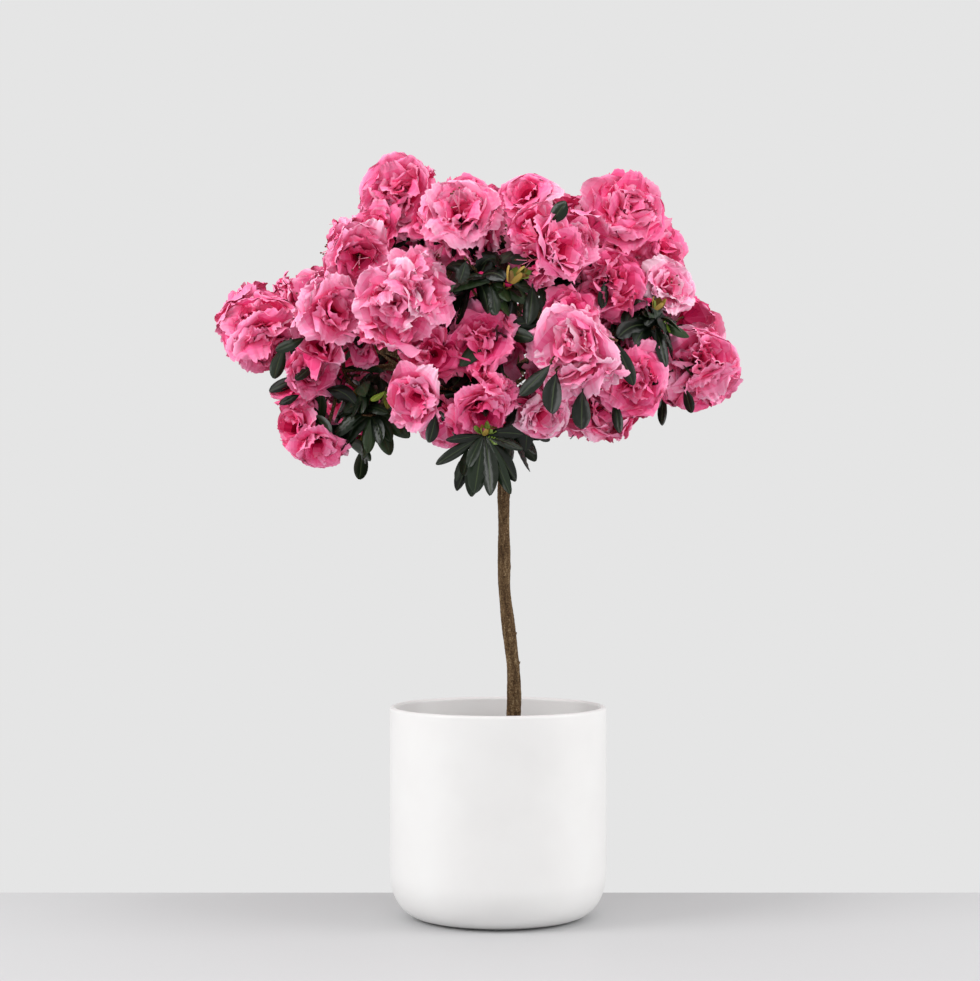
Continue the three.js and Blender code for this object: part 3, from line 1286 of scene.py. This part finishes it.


# The deep tones of front_middle, right_middle and front_low are partly painted shade, for
# blooms that sit in the crown's shadow.
LEADERS = {
    "top_left": Leader((-0.1, -0.9, 0.1), Stage.CRUMPLED, 0.0, 1.1),
    "top_centre": Leader((-0.05, -0.85, 0.5), Stage.FULL, 0.3, 1.15),
    "top_right": Leader((0.2, -0.9, 0.3), Stage.CRUMPLED, 0.1, 1.1),
    "top_right_front": Leader((-0.3, -1.0, -0.05), Stage.ROSETTE, -0.3, 1.1),
    "left_shoulder": Leader((0.1, -0.9, -0.25), Stage.FULL, -0.3, 1.1),
    "left_tip": Leader((-0.4, -0.7, 0.45), Stage.CRUMPLED, 0.2, 1.1),
    "left_arm": Leader((0.3, -0.9, 0.1), Stage.CUPPED, 0.5),
    "left_low": Leader((0.4, -0.9, 0.2), Stage.ROSETTE, 0.2, 1.15),
    "left_hanging": Leader((0.1, -0.7, -0.55), Stage.CUPPED, 0.3, 1.05),
    "front_left": Leader((-0.35, -0.95, -0.25), Stage.CRUMPLED, 0.4, 1.1),
    "front_low_left": Leader((-0.35, -0.8, -0.35), Stage.CUPPED, 0.5, 1.1),
    "front_low": Leader((0.15, -0.8, -0.6), Stage.CUPPED, -0.7, 1.15),
    "front_middle": Leader((-0.4, -0.9, 0.2), Stage.CRUMPLED, -1.2, 1.1),
    "front_upper": Leader((0.6, -0.7, 0.2), Stage.CUPPED, 0.3, 1.15),
    "front_right": Leader((-0.3, -0.95, -0.2), Stage.CRUMPLED, 0.7, 1.1),
    "low_middle": Leader((0.3, -0.7, -0.5), Stage.CUPPED, 1.5, 1.1),
    "right_middle": Leader((0.2, -0.9, 0.3), Stage.CRUMPLED, -0.9, 1.1),
    "right_shoulder": Leader((0.45, -0.8, 0.3), Stage.FULL, 1.2),
    "right_low": Leader((0.2, -0.95, -0.2), Stage.CRUMPLED, -0.4, 1.1),
    "right_tip": Leader((-0.1, -0.95, 0.2), Stage.CRUMPLED, 0.2, 1.1),
}


# Blooms deep in the gaps where the wall would show through: mass, place and axis.
DEEP_BLOOMS = (
    ("top_left", (-100.0, -24.0, 540.0), (-0.3, 0.0, 1.0)),
    ("right_middle", (70.0, -30.0, 500.0), (0.3, -0.6, -0.3)),
)


@dataclass(frozen=True)
class LooseLeaf:
    """A single leaf that shows between the blooms.

    It starts just inside the crown's front at a place across and up. The lean is how far
    its tip is turned to the right from hanging straight down, as seen from the front.
    """

    across: float
    height: float
    lean: float
    length: float
    width: float
    is_young: bool = False


# Each row gives the place across, the height, the lean, the length and the width.
LOOSE_LEAVES = tuple(
    LooseLeaf(*row)
    for row in (
        (-172, 470, -20, 30, 12), (-150, 473, -65, 27, 10), (-146, 453, -50, 20, 9),
        (-156, 430, -70, 20, 8), (-113, 390, 0, 30, 12), (-128, 432, 45, 38, 14),
        (-106, 455, 5, 38, 13), (-84, 452, -12, 32, 11), (-88, 432, -60, 16, 7, True),
        (-84, 436, -15, 20, 8, True), (-80, 434, 35, 17, 7, True), (-48, 412, -8, 24, 10),
        (26, 512, -3, 34, 14), (34, 510, 8, 30, 12), (39, 556, 150, 22, 13),
        (84, 518, -10, 24, 9), (90, 468, 25, 38, 12), (140, 450, -60, 30, 14),
        (138, 437, -45, 24, 13), (138, 434, -8, 28, 8), (149, 436, 12, 22, 9),
        (40, 450, -45, 38, 12), (44, 444, -12, 36, 16), (64, 431, -5, 34, 15),
        (90, 424, 15, 28, 9), (-70, 562, -60, 22, 11), (-25, 530, -15, 20, 11),
    )
)

# Leaves round the low shoot in front of the stem, all from one place: the lean, the length
# and the width.
LOW_SHOOT = (-11.0, -162.0, 397.0)
LOW_SHOOT_LEAVES = tuple(
    LooseLeaf(0, 0, *row)
    for row in (
        (-60, 47, 9), (-80, 33, 7), (-30, 32, 9), (-8, 48, 16), (11, 51, 14), (22, 54, 10),
        (36, 46, 12), (78, 34, 10), (98, 31, 9), (62, 15, 6, True), (-130, 10, 5, True),
        (165, 12, 6, True),
    )
)


@dataclass(frozen=True)
class LooseBud:
    """A single bud that shows between the blooms and leaves."""

    spot: tuple[float, float, float]
    axis: tuple[float, float, float]
    length: float
    width: float


LOOSE_BUDS = (
    LooseBud((-11.0, -164.0, 398.0), (0.1, -0.5, 0.9), 9.0, 7.0),
    LooseBud((-6.0, -163.0, 399.0), (0.7, -0.5, 0.7), 8.0, 6.0),
    LooseBud((10.0, -168.0, 514.0), (0.35, -0.4, 0.8), 20.0, 12.0),
    LooseBud((16.0, -166.0, 518.0), (0.8, -0.4, 0.3), 15.0, 9.0),
    LooseBud((122.0, -140.0, 496.0), (0.3, -0.6, 0.8), 13.0, 9.0),
)


@dataclass
class Crown:
    """Blooms, leaves and twigs that grow on from the boughs."""

    trunk: Array
    boughs: dict[str, Array]
    heart_height: float = 450.0
    front_spacing: float = 40.0
    back_spacing: float = 46.0
    bloom_height: float = 29.0
    bloom_radius: float = 36.0
    bloom_scales: tuple[float, float] = (0.74, 1.1)
    stage_shares: tuple[float, ...] = (0.36, 0.2, 0.08, 0.36)
    filler_scale: float = 0.92
    branch_radii: tuple[float, float] = (1.9, 1.4)
    twig_radii: tuple[float, float] = (1.25, 0.85)
    fill_spacing: float = 31.0
    fill_depth: float = 0.86
    leaf_margin: float = 1.07
    loose_depth: float = 0.84
    open_depth: float = 0.86
    rim_give: float = 0.15
    rim_ease: float = 0.22
    young_share: float = 0.1
    inner_sprays: int = 120
    sprays_per_bough: int = 4
    sprays_per_leafy_mass: int = 8
    under_bloom_mm: float = 5.0
    bloom_heart: float = 15.0
    filler_heart: float = 19.0
    fill_tries: int = 4000
    room_tries: int = 160
    bud_every: int = 9
    plan_seed: int = 2024
    twig_seed: int = 77
    bloom_seed: int = 5
    leaf_seed: int = 9
    loose_leaf_seed: int = 61
    bud_seed: int = 21
    first_loose_bud_seed: int = 80
    masses: list[Mass] = field(default_factory=list)
    sites: dict[str, list[Site]] = field(default_factory=dict)
    fillers: dict[str, list[Site]] = field(default_factory=lambda: defaultdict(list))
    leaf_sites: list[Site] = field(default_factory=list)

    def __post_init__(self) -> None:
        """Measures the masses and finds the point that the crown spreads from."""
        flowering = [name for quarter in Quarter for name in quarter.value]
        self.masses = [Mass.from_frame(name, False) for name in flowering]
        self.masses += [Mass.from_frame(name, True) for name in LEAFY]
        self.heart = np.array([*self.trunk[-1][:2], self.heart_height * MM])

    def outward(self, mass: Mass) -> Array:
        """Finds the direction in which a mass faces away from the crown's heart."""
        return unit(mass.centre - self.heart)

    def depth(self, points: Array) -> Array:
        """Says how deep points are in the mass that holds them best."""
        return np.min([mass.depth(points) for mass in self.masses], axis=0)

    def has_room(self, tip: Array) -> bool:
        """Says whether a leaf's tip stays in the crown and clear of its blooms."""
        if float(self.depth(tip)) > self.leaf_margin:
            return False
        for mass in self.masses:
            if mass.leafy or float(mass.depth(tip)) > 0.97:
                continue
            if float(np.dot(tip - mass.centre, self.outward(mass))) > 4 * MM:
                return False
        return True

    def fitted(self, mass: Mass, points: Array) -> Array:
        """Draws in what stands out of every mass, towards the mass it belongs to.

        Args:
            mass: The mass that carries the bloom.
            points: The points of a petal.

        Returns:
            The points, with the outer ones drawn in.
        """
        own = mass.depth(points)
        beyond = np.maximum(own - 1, 0)
        wanted = np.minimum(own, 1) + self.rim_give * (1 - np.exp(-beyond / self.rim_ease))
        outside = smooth(0.98, 1.15, self.depth(points))
        pull = 1 + outside * (wanted / np.maximum(own, 1e-6) - 1)
        return mass.centre + (points - mass.centre) * pull[..., None]

    def plan(self) -> None:
        """Chooses where blooms and sprays of leaves go, mass by mass."""
        rng = np.random.default_rng(self.plan_seed)
        flowering = [mass for mass in self.masses if not mass.leafy]
        taken: list[Array] = []
        for mass in flowering:
            leader = LEADERS.get(mass.name)
            face = unit(np.array(leader.axis)) if leader else self.outward(mass)
            self.sites[mass.name] = [self.bloom_site(mass, face)]
            taken.append(mass.centre + face * mass.radius(face))
        for mass in flowering:
            spacing = self.front_spacing if mass.name in LEADERS else self.back_spacing
            while (face := self.emptiest(mass, taken, spacing, rng)) is not None:
                self.sites[mass.name].append(self.bloom_site(mass, face))
                taken.append(mass.centre + face * mass.radius(face))
        self.fill_gaps(flowering, rng)
        self.plan_leaves(rng)

    def fill_gaps(self, flowering: list[Mass], rng: Random) -> None:
        """Sets deeper blooms into the gaps between the outer ones.

        Args:
            flowering: The masses that carry blooms.
            rng: The source of the tries.
        """
        sites = [site for group in self.sites.values() for site in group]
        hearts = [site.foot + site.axis * self.bloom_heart * MM for site in sites]
        for name, spot, axis in DEEP_BLOOMS:
            foot, facing = stand(spot, axis)
            mass = next(mass for mass in flowering if mass.name == name)
            hearts.append(foot + facing * self.filler_heart * MM)
            self.fillers[name].append(Site(mass, foot, facing))
        for _ in range(self.fill_tries):
            mass = flowering[int(rng.integers(len(flowering)))]
            face = unit(random_unit(rng) + 0.6 * self.outward(mass))
            heart = mass.centre + face * mass.radius(face) * self.fill_depth
            gap = np.linalg.norm(np.array(hearts) - heart, axis=1).min()
            is_leafy = any(m.leafy and float(m.depth(heart)) < 1.05 for m in self.masses)
            if gap < self.fill_spacing * MM or is_leafy:
                continue
            axis = unit(self.outward(mass) + 0.5 * random_unit(rng))
            hearts.append(heart)
            foot = heart - axis * self.filler_heart * MM
            self.fillers[mass.name].append(Site(mass, foot, axis))

    def bloom_site(self, mass: Mass, face: Array) -> Site:
        """Sets a bloom into a mass so that its petals just fill the outline.

        Args:
            mass: The mass that carries it.
            face: The direction from the mass's centre.

        Returns:
            The site of the bloom's foot.
        """
        reach = float(mass.radius(face)) - self.bloom_height * MM * self.bloom_scale(mass)
        return Site(mass, mass.centre + face * max(reach, -4 * MM), face)

    def bloom_scale(self, mass: Mass) -> float:
        """Sizes blooms to the mass that carries them, within what blooms grow to."""
        size = float(np.mean(mass.half)) / MM / self.bloom_radius
        return float(np.clip(size, *self.bloom_scales))

    def emptiest(
        self,
        mass: Mass,
        taken: list[Array],
        spacing: float,
        rng: Random,
    ) -> Array | None:
        """Looks for the barest place on a mass's open side.

        Args:
            mass: The mass to look over.
            taken: The places that have a bloom.
            spacing: How far apart blooms stand, in millimetres.
            rng: The source of the tries.

        Returns:
            The direction from the mass's centre, or None where there is no room.
        """
        faces = unit(rng.normal(size=(self.room_tries, 3)))
        faces = faces[faces @ self.outward(mass) > -0.25]
        points = mass.centre + faces * mass.radius(faces)[:, None]
        others = [other.depth(points) for other in self.masses if other is not mass]
        is_open = np.min(others, axis=0) > self.open_depth
        gaps = np.linalg.norm(points[:, None, :] - np.array(taken)[None], axis=-1)
        room = np.where(is_open, gaps.min(axis=1), 0.0)
        best = int(np.argmax(room))
        return faces[best] if room[best] > spacing * MM else None

    def plan_leaves(self, rng: Random) -> None:
        """Chooses the sprays along the boughs, in leafy masses and inside the crown."""
        for line in self.boughs.values():
            for part in np.linspace(0.35, 1.0, self.sprays_per_bough):
                foot = line[int(part * (len(line) - 1))] + random_unit(rng) * 6 * MM
                mass = min(self.masses, key=lambda each: float(each.depth(foot)))
                self.leaf_sites.append(Site(mass, foot, unit(UP + 0.8 * random_unit(rng))))
        for mass in self.masses:
            if not mass.leafy or mass.name == STEM_TOP:
                continue
            outward = self.outward(mass)
            for _ in range(self.sprays_per_leafy_mass):
                face = unit(random_unit(rng) + 0.7 * outward + 0.5 * UP)
                reach = float(mass.radius(face)) * rng.uniform(0.1, 0.6)
                axis = unit(face + 0.7 * outward + 0.2 * UP)
                self.leaf_sites.append(Site(mass, mass.centre + face * reach, axis))
        for index in range(self.inner_sprays):
            mass = self.masses[index % len(self.masses)]
            outward = self.outward(mass)
            inward = mass.centre - outward * rng.uniform(0.0, 0.05)
            point = inward + random_unit(rng) * 0.02
            axis = unit(outward + 0.6 * random_unit(rng) - 0.2 * UP)
            self.leaf_sites.append(Site(mass, point, axis))

    def nearest_on_boughs(self, point: Array) -> Array:
        """Finds the place on the boughs that is nearest to a point."""
        every = np.vstack(list(self.boughs.values()))
        return every[np.argmin(np.linalg.norm(every - point, axis=1))]

    def grow_twigs(self) -> None:
        """Grows a branch from the boughs to each mass, and from it a twig to each site."""
        rng = np.random.default_rng(self.twig_seed)
        heap = Heap()
        groups = (*self.sites.values(), *self.fillers.values(), self.leaf_sites)
        ends = [site for group in groups for site in group]
        hubs = {}
        for mass in self.masses:
            start = self.nearest_on_boughs(mass.centre)
            hubs[mass.name] = mass.centre - self.outward(mass) * 0.3 * np.min(mass.half)
            self.add_twig(heap, start, hubs[mass.name], *self.branch_radii, rng)
        for site in ends:
            hub = hubs[site.mass.name]
            self.add_twig(heap, hub, site.foot, *self.twig_radii, rng, site.axis)
        place(heap.make("twigs", [Bark("twig_bark", streak_mm=1.0)]))

    def add_twig(
        self,
        heap: Heap,
        start: Array,
        end: Array,
        foot_radius: float,
        tip_radius: float,
        rng: Random,
        axis: Array | None = None,
    ) -> None:
        """Adds one wandering, tapering twig.

        Args:
            heap: The heap of twigs.
            start: Where it leaves its parent.
            end: Where it ends.
            foot_radius: Its radius at the start.
            tip_radius: Its radius at the end.
            rng: The source of its wander.
            axis: The direction that it ends in, if that matters.
        """
        gap = float(np.linalg.norm(end - start))
        if gap < 2 * MM:
            return
        wander = random_unit(rng) * gap * 0.12
        if axis is None:
            late = start + (end - start) * 0.7 + random_unit(rng) * gap * 0.06
        else:
            late = end - axis * min(0.35 * gap, 9 * MM)
        early = start + (end - start) * 0.35 + wander + UP * gap * 0.05
        rows = max(6, int(gap / (4 * MM)))
        line = bend(np.array([start, early, late, end]), rows)
        radii = np.linspace(foot_radius, tip_radius, rows) * MM
        radii = radii * rng.uniform(0.88, 1.14, rows)
        heap.add_tube(line, radii, 6)

    def build_blooms(self) -> None:
        """Makes the blooms of each part of the crown, and their stamens."""
        stamens = Heap()
        rng = np.random.default_rng(self.bloom_seed)
        for quarter in Quarter:
            petals = Heap()
            for name in quarter.value:
                for index, site in enumerate(self.sites[name]):
                    bloom = self.choose_bloom(site, index, rng)
                    bloom.add_to(petals, stamens, partial(self.fitted, site.mass))
                for site in self.fillers[name]:
                    seed = new_seed(rng)
                    # Deep blooms get a deeper tone on the whole: painted shade, for the shade
                    # inside the crown.
                    tone = float(rng.normal(-0.3, 0.5))
                    sizes = (Stage.FILLER, self.filler_scale, tone, seed)
                    bloom = Bloom(site.foot, site.axis, *sizes)
                    bloom.add_to(petals, stamens, partial(self.fitted, site.mass))
            piece = petals.make(f"blooms_{quarter.name.lower()}", PETALS)
            place(piece, quarter.value)
        place(stamens.make("stamens", STAMENS))

    def choose_bloom(self, site: Site, index: int, rng: Random) -> Bloom:
        """Decides how far a bloom has opened, its size and how pale it is, with painted shade
        on blooms that face down.

        Args:
            site: Where it stands.
            index: Its number in its mass; the first one leads.
            rng: The source of the choice.

        Returns:
            The bloom.
        """
        stages = (Stage.FULL, Stage.CUPPED, Stage.ROSETTE, Stage.CRUMPLED)
        stage = stages[int(rng.choice(len(stages), p=self.stage_shares))]
        scale = self.bloom_scale(site.mass) * rng.uniform(0.92, 1.05)
        # Blooms that face down get a deeper tone: painted shade, for the shade under the crown.
        tone = float(rng.normal(0.0, 0.6)) - 0.5 * float(site.axis[2] < -0.3)
        leader = LEADERS.get(site.mass.name)
        if leader:
            tone = 0.4 * tone + leader.tone
            if index == 0:
                stage = leader.stage
                scale = self.bloom_scale(site.mass) * leader.scale
        seed = new_seed(rng)
        is_fine = site.mass.name in LEADERS
        return Bloom(site.foot, site.axis, stage, scale, tone, seed, is_fine)

    def build_leaves(self) -> None:
        """Makes the sprays under the blooms, in the leafy masses and inside the crown."""
        rng = np.random.default_rng(self.leaf_seed)
        front, back = Heap(), Heap()
        for sites in self.sites.values():
            for site in sites:
                heap = front if site.foot[1] < 0 else back
                foot = site.foot - site.axis * self.under_bloom_mm * MM
                count = int(rng.integers(2, 5))
                sizes = {"length": 31, "spread": 88, "droop": 0.5, "young": 0}
                spray = Spray(foot, site.axis, count, **sizes, seed=new_seed(rng))
                spray.add_to(heap, self.has_room)
        for site in self.leaf_sites:
            heap = front if site.foot[1] < 0 else back
            count = int(rng.integers(5, 8))
            young = 2 if rng.random() < self.young_share else 0
            sizes = {"length": 36, "spread": 76, "young": young, "seed": new_seed(rng)}
            droop, shape = (1.5, FINE_LEAF) if site.mass.leafy else (0.7, LEAF)
            spray = Spray(site.foot, site.axis, count, droop=droop, shape=shape, **sizes)
            spray.add_to(heap, self.has_room)
        self.add_stem_leaves(front)
        self.add_loose_leaves(front)
        place(front.make("leaves_front", LEAVES), LEAFY)
        place(back.make("leaves_back", LEAVES))

    def add_stem_leaves(self, heap: Heap) -> None:
        """Adds the drooping leaves where the bare stem meets the crown."""
        # Place, axis, number of leaves, length, spread, droop and seed of each shoot.
        shoots = (
            ((12.0, -34.0, 404.0), (0.6, -0.5, 0.1), 6, 40, 75, 1.3, 31),
            ((-10.0, -6.0, 408.0), (-0.6, 0.2, 0.0), 5, 36, 75, 1.3, 32),
            ((6.0, 10.0, 408.0), (0.3, 0.8, 0.0), 6, 38, 75, 1.3, 33),
        )
        for spot, axis, count, length, spread, droop, seed in shoots:
            foot, facing = stand(spot, axis)
            self.leaf_sites.append(Site(self.masses[-1], foot, facing))
            spray = Spray(foot, facing, count, length, spread, droop, 0, seed, FINE_LEAF)
            spray.add_to(heap, lambda tip: True)

    def add_loose_leaves(self, heap: Heap) -> None:
        """Adds the single leaves that show between the blooms, and the low shoot."""
        rng = np.random.default_rng(self.loose_leaf_seed)
        for leaf in LOOSE_LEAVES:
            foot = np.array([leaf.across, -250.0, leaf.height]) * MM
            while float(self.depth(foot)) > self.loose_depth and foot[1] < 0:
                foot[1] += 2 * MM
            self.add_loose_leaf(heap, leaf, foot, rng)
            mass = min(self.masses, key=lambda each: float(each.depth(foot)))
            self.leaf_sites.append(Site(mass, foot, unit(np.array([0.0, -1.0, -0.3]))))
        foot = np.array(LOW_SHOOT) * MM
        for leaf in LOW_SHOOT_LEAVES:
            self.add_loose_leaf(heap, leaf, foot + random_unit(rng) * MM, rng)
        self.leaf_sites.append(Site(self.masses[-1], foot, unit(np.array([0, -1, 0.2]))))

    def add_loose_leaf(self, heap: Heap, leaf: LooseLeaf, foot: Array, rng: Random) -> None:
        """Adds one single leaf.

        Args:
            heap: The heap of leaves.
            leaf: The leaf's size and lean.
            foot: Where its stalk starts.
            rng: The source of its own wobble.
        """
        turn = math.radians(leaf.lean)
        heading = unit(np.array([math.sin(turn), -0.4, -math.cos(turn)]))
        facing = unit(np.array([rng.normal(0, 0.3), -1.0, 0.35]))
        tone = YOUNG_LEAF if leaf.is_young else int(rng.integers(0, 3))
        sizes = (leaf.length, leaf.width, 0.12, tone)
        FINE_LEAF.add_leaf(heap, foot, heading, facing, *sizes, rng)

    def build_buds(self) -> None:
        """Makes the flower buds that stand among the leaves."""
        rng = np.random.default_rng(self.bud_seed)
        petals, scales = Heap(), Heap()
        for site in self.leaf_sites[:: self.bud_every]:
            axis = unit(site.axis + 0.3 * random_unit(rng))
            length, width = rng.uniform(9, 17), rng.uniform(5, 7.5)
            Bud(site.foot, axis, length, width, new_seed(rng)).add_to(petals, scales)
        for number, bud in enumerate(LOOSE_BUDS):
            seed = self.first_loose_bud_seed + number
            closed = Bud(*stand(bud.spot, bud.axis), bud.length, bud.width, seed, False)
            closed.add_to(petals, scales)
        place(petals.make("flower_buds", PETALS))
        place(scales.make("bud_scales", BUD_SCALES))


# ---- Pot and compost ----


@dataclass
class Pot:
    """A straight-sided stoneware pot with a round foot and a soft rim."""

    node: str = "pot"
    wall: float = 5.0
    floor: float = 9.0
    base_radius: float = 65.0
    corner_height: float = 37.0
    foot_radius: float = 62.0
    foot_height: float = 1.2
    outer_steps: int = 28
    inner_steps: int = 16
    sides: int = 160

    def corner(
        self, radius: float, base: float, low: float, high: float, steps: int
    ) -> list[tuple[float, float]]:
        """Draws the quarter ellipse from the underside up to the straight wall.

        Args:
            radius: The wall's radius.
            base: The flat underside's radius.
            low: The underside's height.
            high: Where the wall starts.
            steps: How many steps the curve has.

        Returns:
            Points as radius and height.
        """
        points = []
        for turn in np.linspace(0, np.pi / 2, steps):
            outward = base + (radius - base) * math.sin(turn)
            points.append((outward, low + (high - low) * (1 - math.cos(turn))))
        return points

    def build(self) -> bpy.types.Object:
        """Turns the pot's outline round its axis."""
        low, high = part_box(self.node)
        radius, top = (high.x - low.x) / 2 / MM, high.z / MM
        rim = self.wall / 2
        outline = [(0.01, 0.0), (self.foot_radius - 0.5, 0.0)]
        outline += [(self.foot_radius, 0.3), (self.foot_radius, self.foot_height)]
        heights = (self.foot_height, self.corner_height, self.outer_steps)
        outline += self.corner(radius, self.base_radius, *heights)
        outline += [(radius, h) for h in np.linspace(self.corner_height, top - rim, 14)[1:]]
        for turn in np.linspace(0, np.pi, 15)[1:]:
            outline.append(
                (radius - rim + rim * math.cos(turn), top - rim + rim * math.sin(turn))
            )
        heights = (self.floor, self.corner_height, self.inner_steps)
        inner = self.corner(radius - self.wall, self.base_radius - self.wall, *heights)
        outline += inner[::-1] + [(0.01, self.floor)]
        turns = np.linspace(0, 2 * np.pi, self.sides, endpoint=False)
        radii, rises = np.array(outline).T
        ring = (np.cos(turns), np.sin(turns), np.ones(self.sides))
        grid = np.stack([np.outer(*pair) for pair in zip((radii, radii, rises), ring)], -1)
        heap = Heap()
        heap.add_grid(grid * MM, 0, closed=True)
        piece = heap.make("pot_glazed", [MattGlaze()])
        return place(piece, [self.node])


@dataclass
class Compost:
    """Compost firmed into the pot, with crumbs and flakes of bark on top."""

    node: str = "potting_soil"
    crumbs: int = 700
    stem_gap: float = 9.0
    rings: int = 40
    sides: int = 120
    seed: int = 3

    def build(self, stem: Array) -> bpy.types.Object:
        """Makes the uneven surface and the loose crumbs.

        Args:
            stem: Where the stem comes out of the compost.

        Returns:
            The compost.
        """
        rng = np.random.default_rng(self.seed)
        low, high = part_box(self.node)
        radius, level = (high.x - low.x) / 2 - 0.3 * MM, high.z
        heap = Heap()
        out = np.linspace(0.001, 1, self.rings)[:, None]
        turns = np.linspace(0, 2 * np.pi, self.sides, endpoint=False)[None, :]
        x, y = out * radius * np.cos(turns), out * radius * np.sin(turns)
        height = level + self.relief(x, y, stem)
        surface = np.stack([x, y, height], -1)
        skirt = surface[-1].copy()
        skirt[:, 2] = low.z + 0.02
        heap.add_grid(np.concatenate([surface, skirt[None]]), 0, closed=True)
        for _ in range(self.crumbs):
            away = radius * 0.97 * math.sqrt(rng.random())
            turn = rng.uniform(0, 2 * np.pi)
            spot = np.array([away * math.cos(turn), away * math.sin(turn), 0.0])
            if np.linalg.norm(spot[:2] - stem[:2]) < self.stem_gap * MM:
                continue
            spot[2] = level + float(self.relief(spot[0], spot[1], stem))
            self.add_crumb(heap, spot, rng)
        piece = heap.make("compost", [PeatCompost()])
        return place(piece, [self.node])

    def relief(self, x: Array, y: Array, stem: Array) -> Array:
        """Works out how far the surface stands above or below its level.

        Args:
            x: Places across, in metres.
            y: Places in depth, in metres.
            stem: Where the stem comes out.

        Returns:
            Heights in metres.
        """
        a, b = x / MM, y / MM
        bumps = np.sin(a / 7 + 1) * np.sin(b / 9 + 2) + 0.6 * np.sin(a / 3.1 + b / 4.3)
        bumps = bumps + 0.5 * np.sin(a / 1.9 - b / 2.3)
        near = np.exp(-((x - stem[0]) ** 2 + (y - stem[1]) ** 2) / (16 * MM) ** 2)
        return (0.8 * bumps + 2.5 * near - 1.6) * MM

    def add_crumb(self, heap: Heap, spot: Array, rng: Random) -> None:
        """Adds one rough crumb or flake of bark.

        Args:
            heap: The heap of compost.
            spot: Where it lies.
            rng: The source of its size and turn.
        """
        size = rng.uniform(0.7, 2.4) * MM
        axis = random_unit(rng)
        line = spot + np.outer(np.linspace(-1, 1, 4) * size * rng.uniform(0.6, 1.6), axis)
        radii = np.array([0.15, 0.9, 0.8, 0.1])[:, None] * rng.uniform(0.7, 1.2, (4, 6))
        heap.add_grid(tube_grid(line, radii * size, 6), 0, closed=True)


# ---- Studio ----


@dataclass
class Studio:
    """A pale table in front of a pale wall, soft light, and a level camera, in metres."""

    camera_distance: float = 1.944
    camera_height: float = 0.3538
    camera_side: float = -0.0067
    lens: float = 85.76
    table_back: float = 0.112
    table_reach: float = 2.6
    wall: str = "#E5E5E5"
    table: tuple[str, str] = ("#C5C5C6", "#C8C8C9")
    table_cloud_mm: float = 1000 / 3
    sky_strength: float = 0.64
    aim_height: float = 0.35

    def build(self) -> None:
        """Sets up the camera, the table, the wall's even tone and the lights."""
        self.add_camera()
        self.add_table()
        self.add_wall()
        self.add_softbox("key_softbox", (-1.8, -0.8, 1.3), 1.1, 27.0)
        self.add_softbox("fill_softbox", (1.8, -0.5, 1.0), 1.2, 19.0)
        self.add_softbox("front_softbox", (0.5, -2.3, 1.0), 1.0, 2.5)
        self.add_softbox("top_softbox", (0.0, -0.5, 2.3), 1.3, 13.0)
        bpy.context.scene.view_settings.view_transform = "Standard"

    def add_camera(self) -> None:
        """Stands the camera in front of the plant, level with the foot of the crown."""
        data = bpy.data.cameras.new("camera")
        data.lens = self.lens
        data.sensor_width = 36.0
        data.clip_start = 0.05
        data.clip_end = 60.0
        camera = new_object("camera", data)
        camera.location = (self.camera_side, -self.camera_distance, self.camera_height)
        camera.rotation_euler = (math.pi / 2, 0.0, 0.0)
        bpy.context.scene.camera = camera

    def add_table(self) -> None:
        """Lays the pale table top, whose back edge is close behind the pot."""
        reach, back = self.table_reach, self.table_back
        corners = [(-reach, -reach, 0), (reach, -reach, 0), (reach, back, 0), (-reach, back, 0)]
        mesh = bpy.data.meshes.new("table_top")
        mesh.from_pydata(corners, [], [(0, 1, 2, 3)])
        material, tree = new_material("satin_table_paint")
        clouds = noise(tree, own_place(tree), self.table_cloud_mm, detail=2.0)
        values = {
            "Base Color": blend_of(tree, clouds, self.table),
            "Roughness": 0.55,
            "Specular IOR Level": 0.4,
        }
        close_material(tree, values)
        mesh.materials.append(material)
        table = new_object("table_top", mesh)

    def add_wall(self) -> None:
        """Gives the world the wall's tone as seen, and a softer one as light."""
        world = bpy.data.worlds.new("pale_wall")
        bpy.context.scene.world = world
        world.use_nodes = True
        tree = world.node_tree
        tree.nodes.clear()
        as_seen = {"Color": linear(self.wall), "Strength": 1.0}
        as_light = {"Color": linear("#FFFFFF"), "Strength": self.sky_strength}
        seen = add_node(tree, "ShaderNodeBackground", as_seen)
        glow = add_node(tree, "ShaderNodeBackground", as_light)
        ray = add_node(tree, "ShaderNodeLightPath").outputs["Is Camera Ray"]
        parts = {0: ray, 1: glow.outputs[0], 2: seen.outputs[0]}
        mixed = add_node(tree, "ShaderNodeMixShader", parts)
        add_node(tree, "ShaderNodeOutputWorld", {"Surface": mixed.outputs[0]})

    def add_softbox(
        self, name: str, spot: tuple[float, float, float], size: float, power: float
    ) -> None:
        """Hangs a square softbox aimed at the crown.

        Args:
            name: The light's name.
            spot: Where it hangs, in metres.
            size: The length of its side, in metres.
            power: Its power in watts.
        """
        data = bpy.data.lights.new(name, "AREA")
        data.shape = "SQUARE"
        data.size = size
        data.energy = power
        light = new_object(name, data)
        light.location = spot
        aim = unit(self.aim_height * UP - np.array(spot))
        yaw = math.atan2(aim[1], aim[0])
        pitch = math.acos(float(np.clip(-aim[2], -1, 1)))
        light.rotation_euler = (pitch, 0.0, yaw - math.pi / 2)


# ---- Assembly ----


def main() -> None:
    """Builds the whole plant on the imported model, piece by piece."""
    logging.basicConfig(level=logging.INFO, format="%(name)s: %(message)s")
    Studio().build()
    Pot().build()
    trunk = Trunk()
    middle = trunk.middle()
    Compost().build(middle[0])
    trunk.build()
    names = sorted(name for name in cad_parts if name.startswith("bough_"))
    boughs = Boughs(names)
    lines = boughs.lines(middle)
    boughs.build(lines)
    crown = Crown(middle, lines)
    crown.plan()
    crown.build_buds()
    crown.build_leaves()
    crown.build_blooms()
    crown.grow_twigs()


if __name__ == "__main__":
    main()
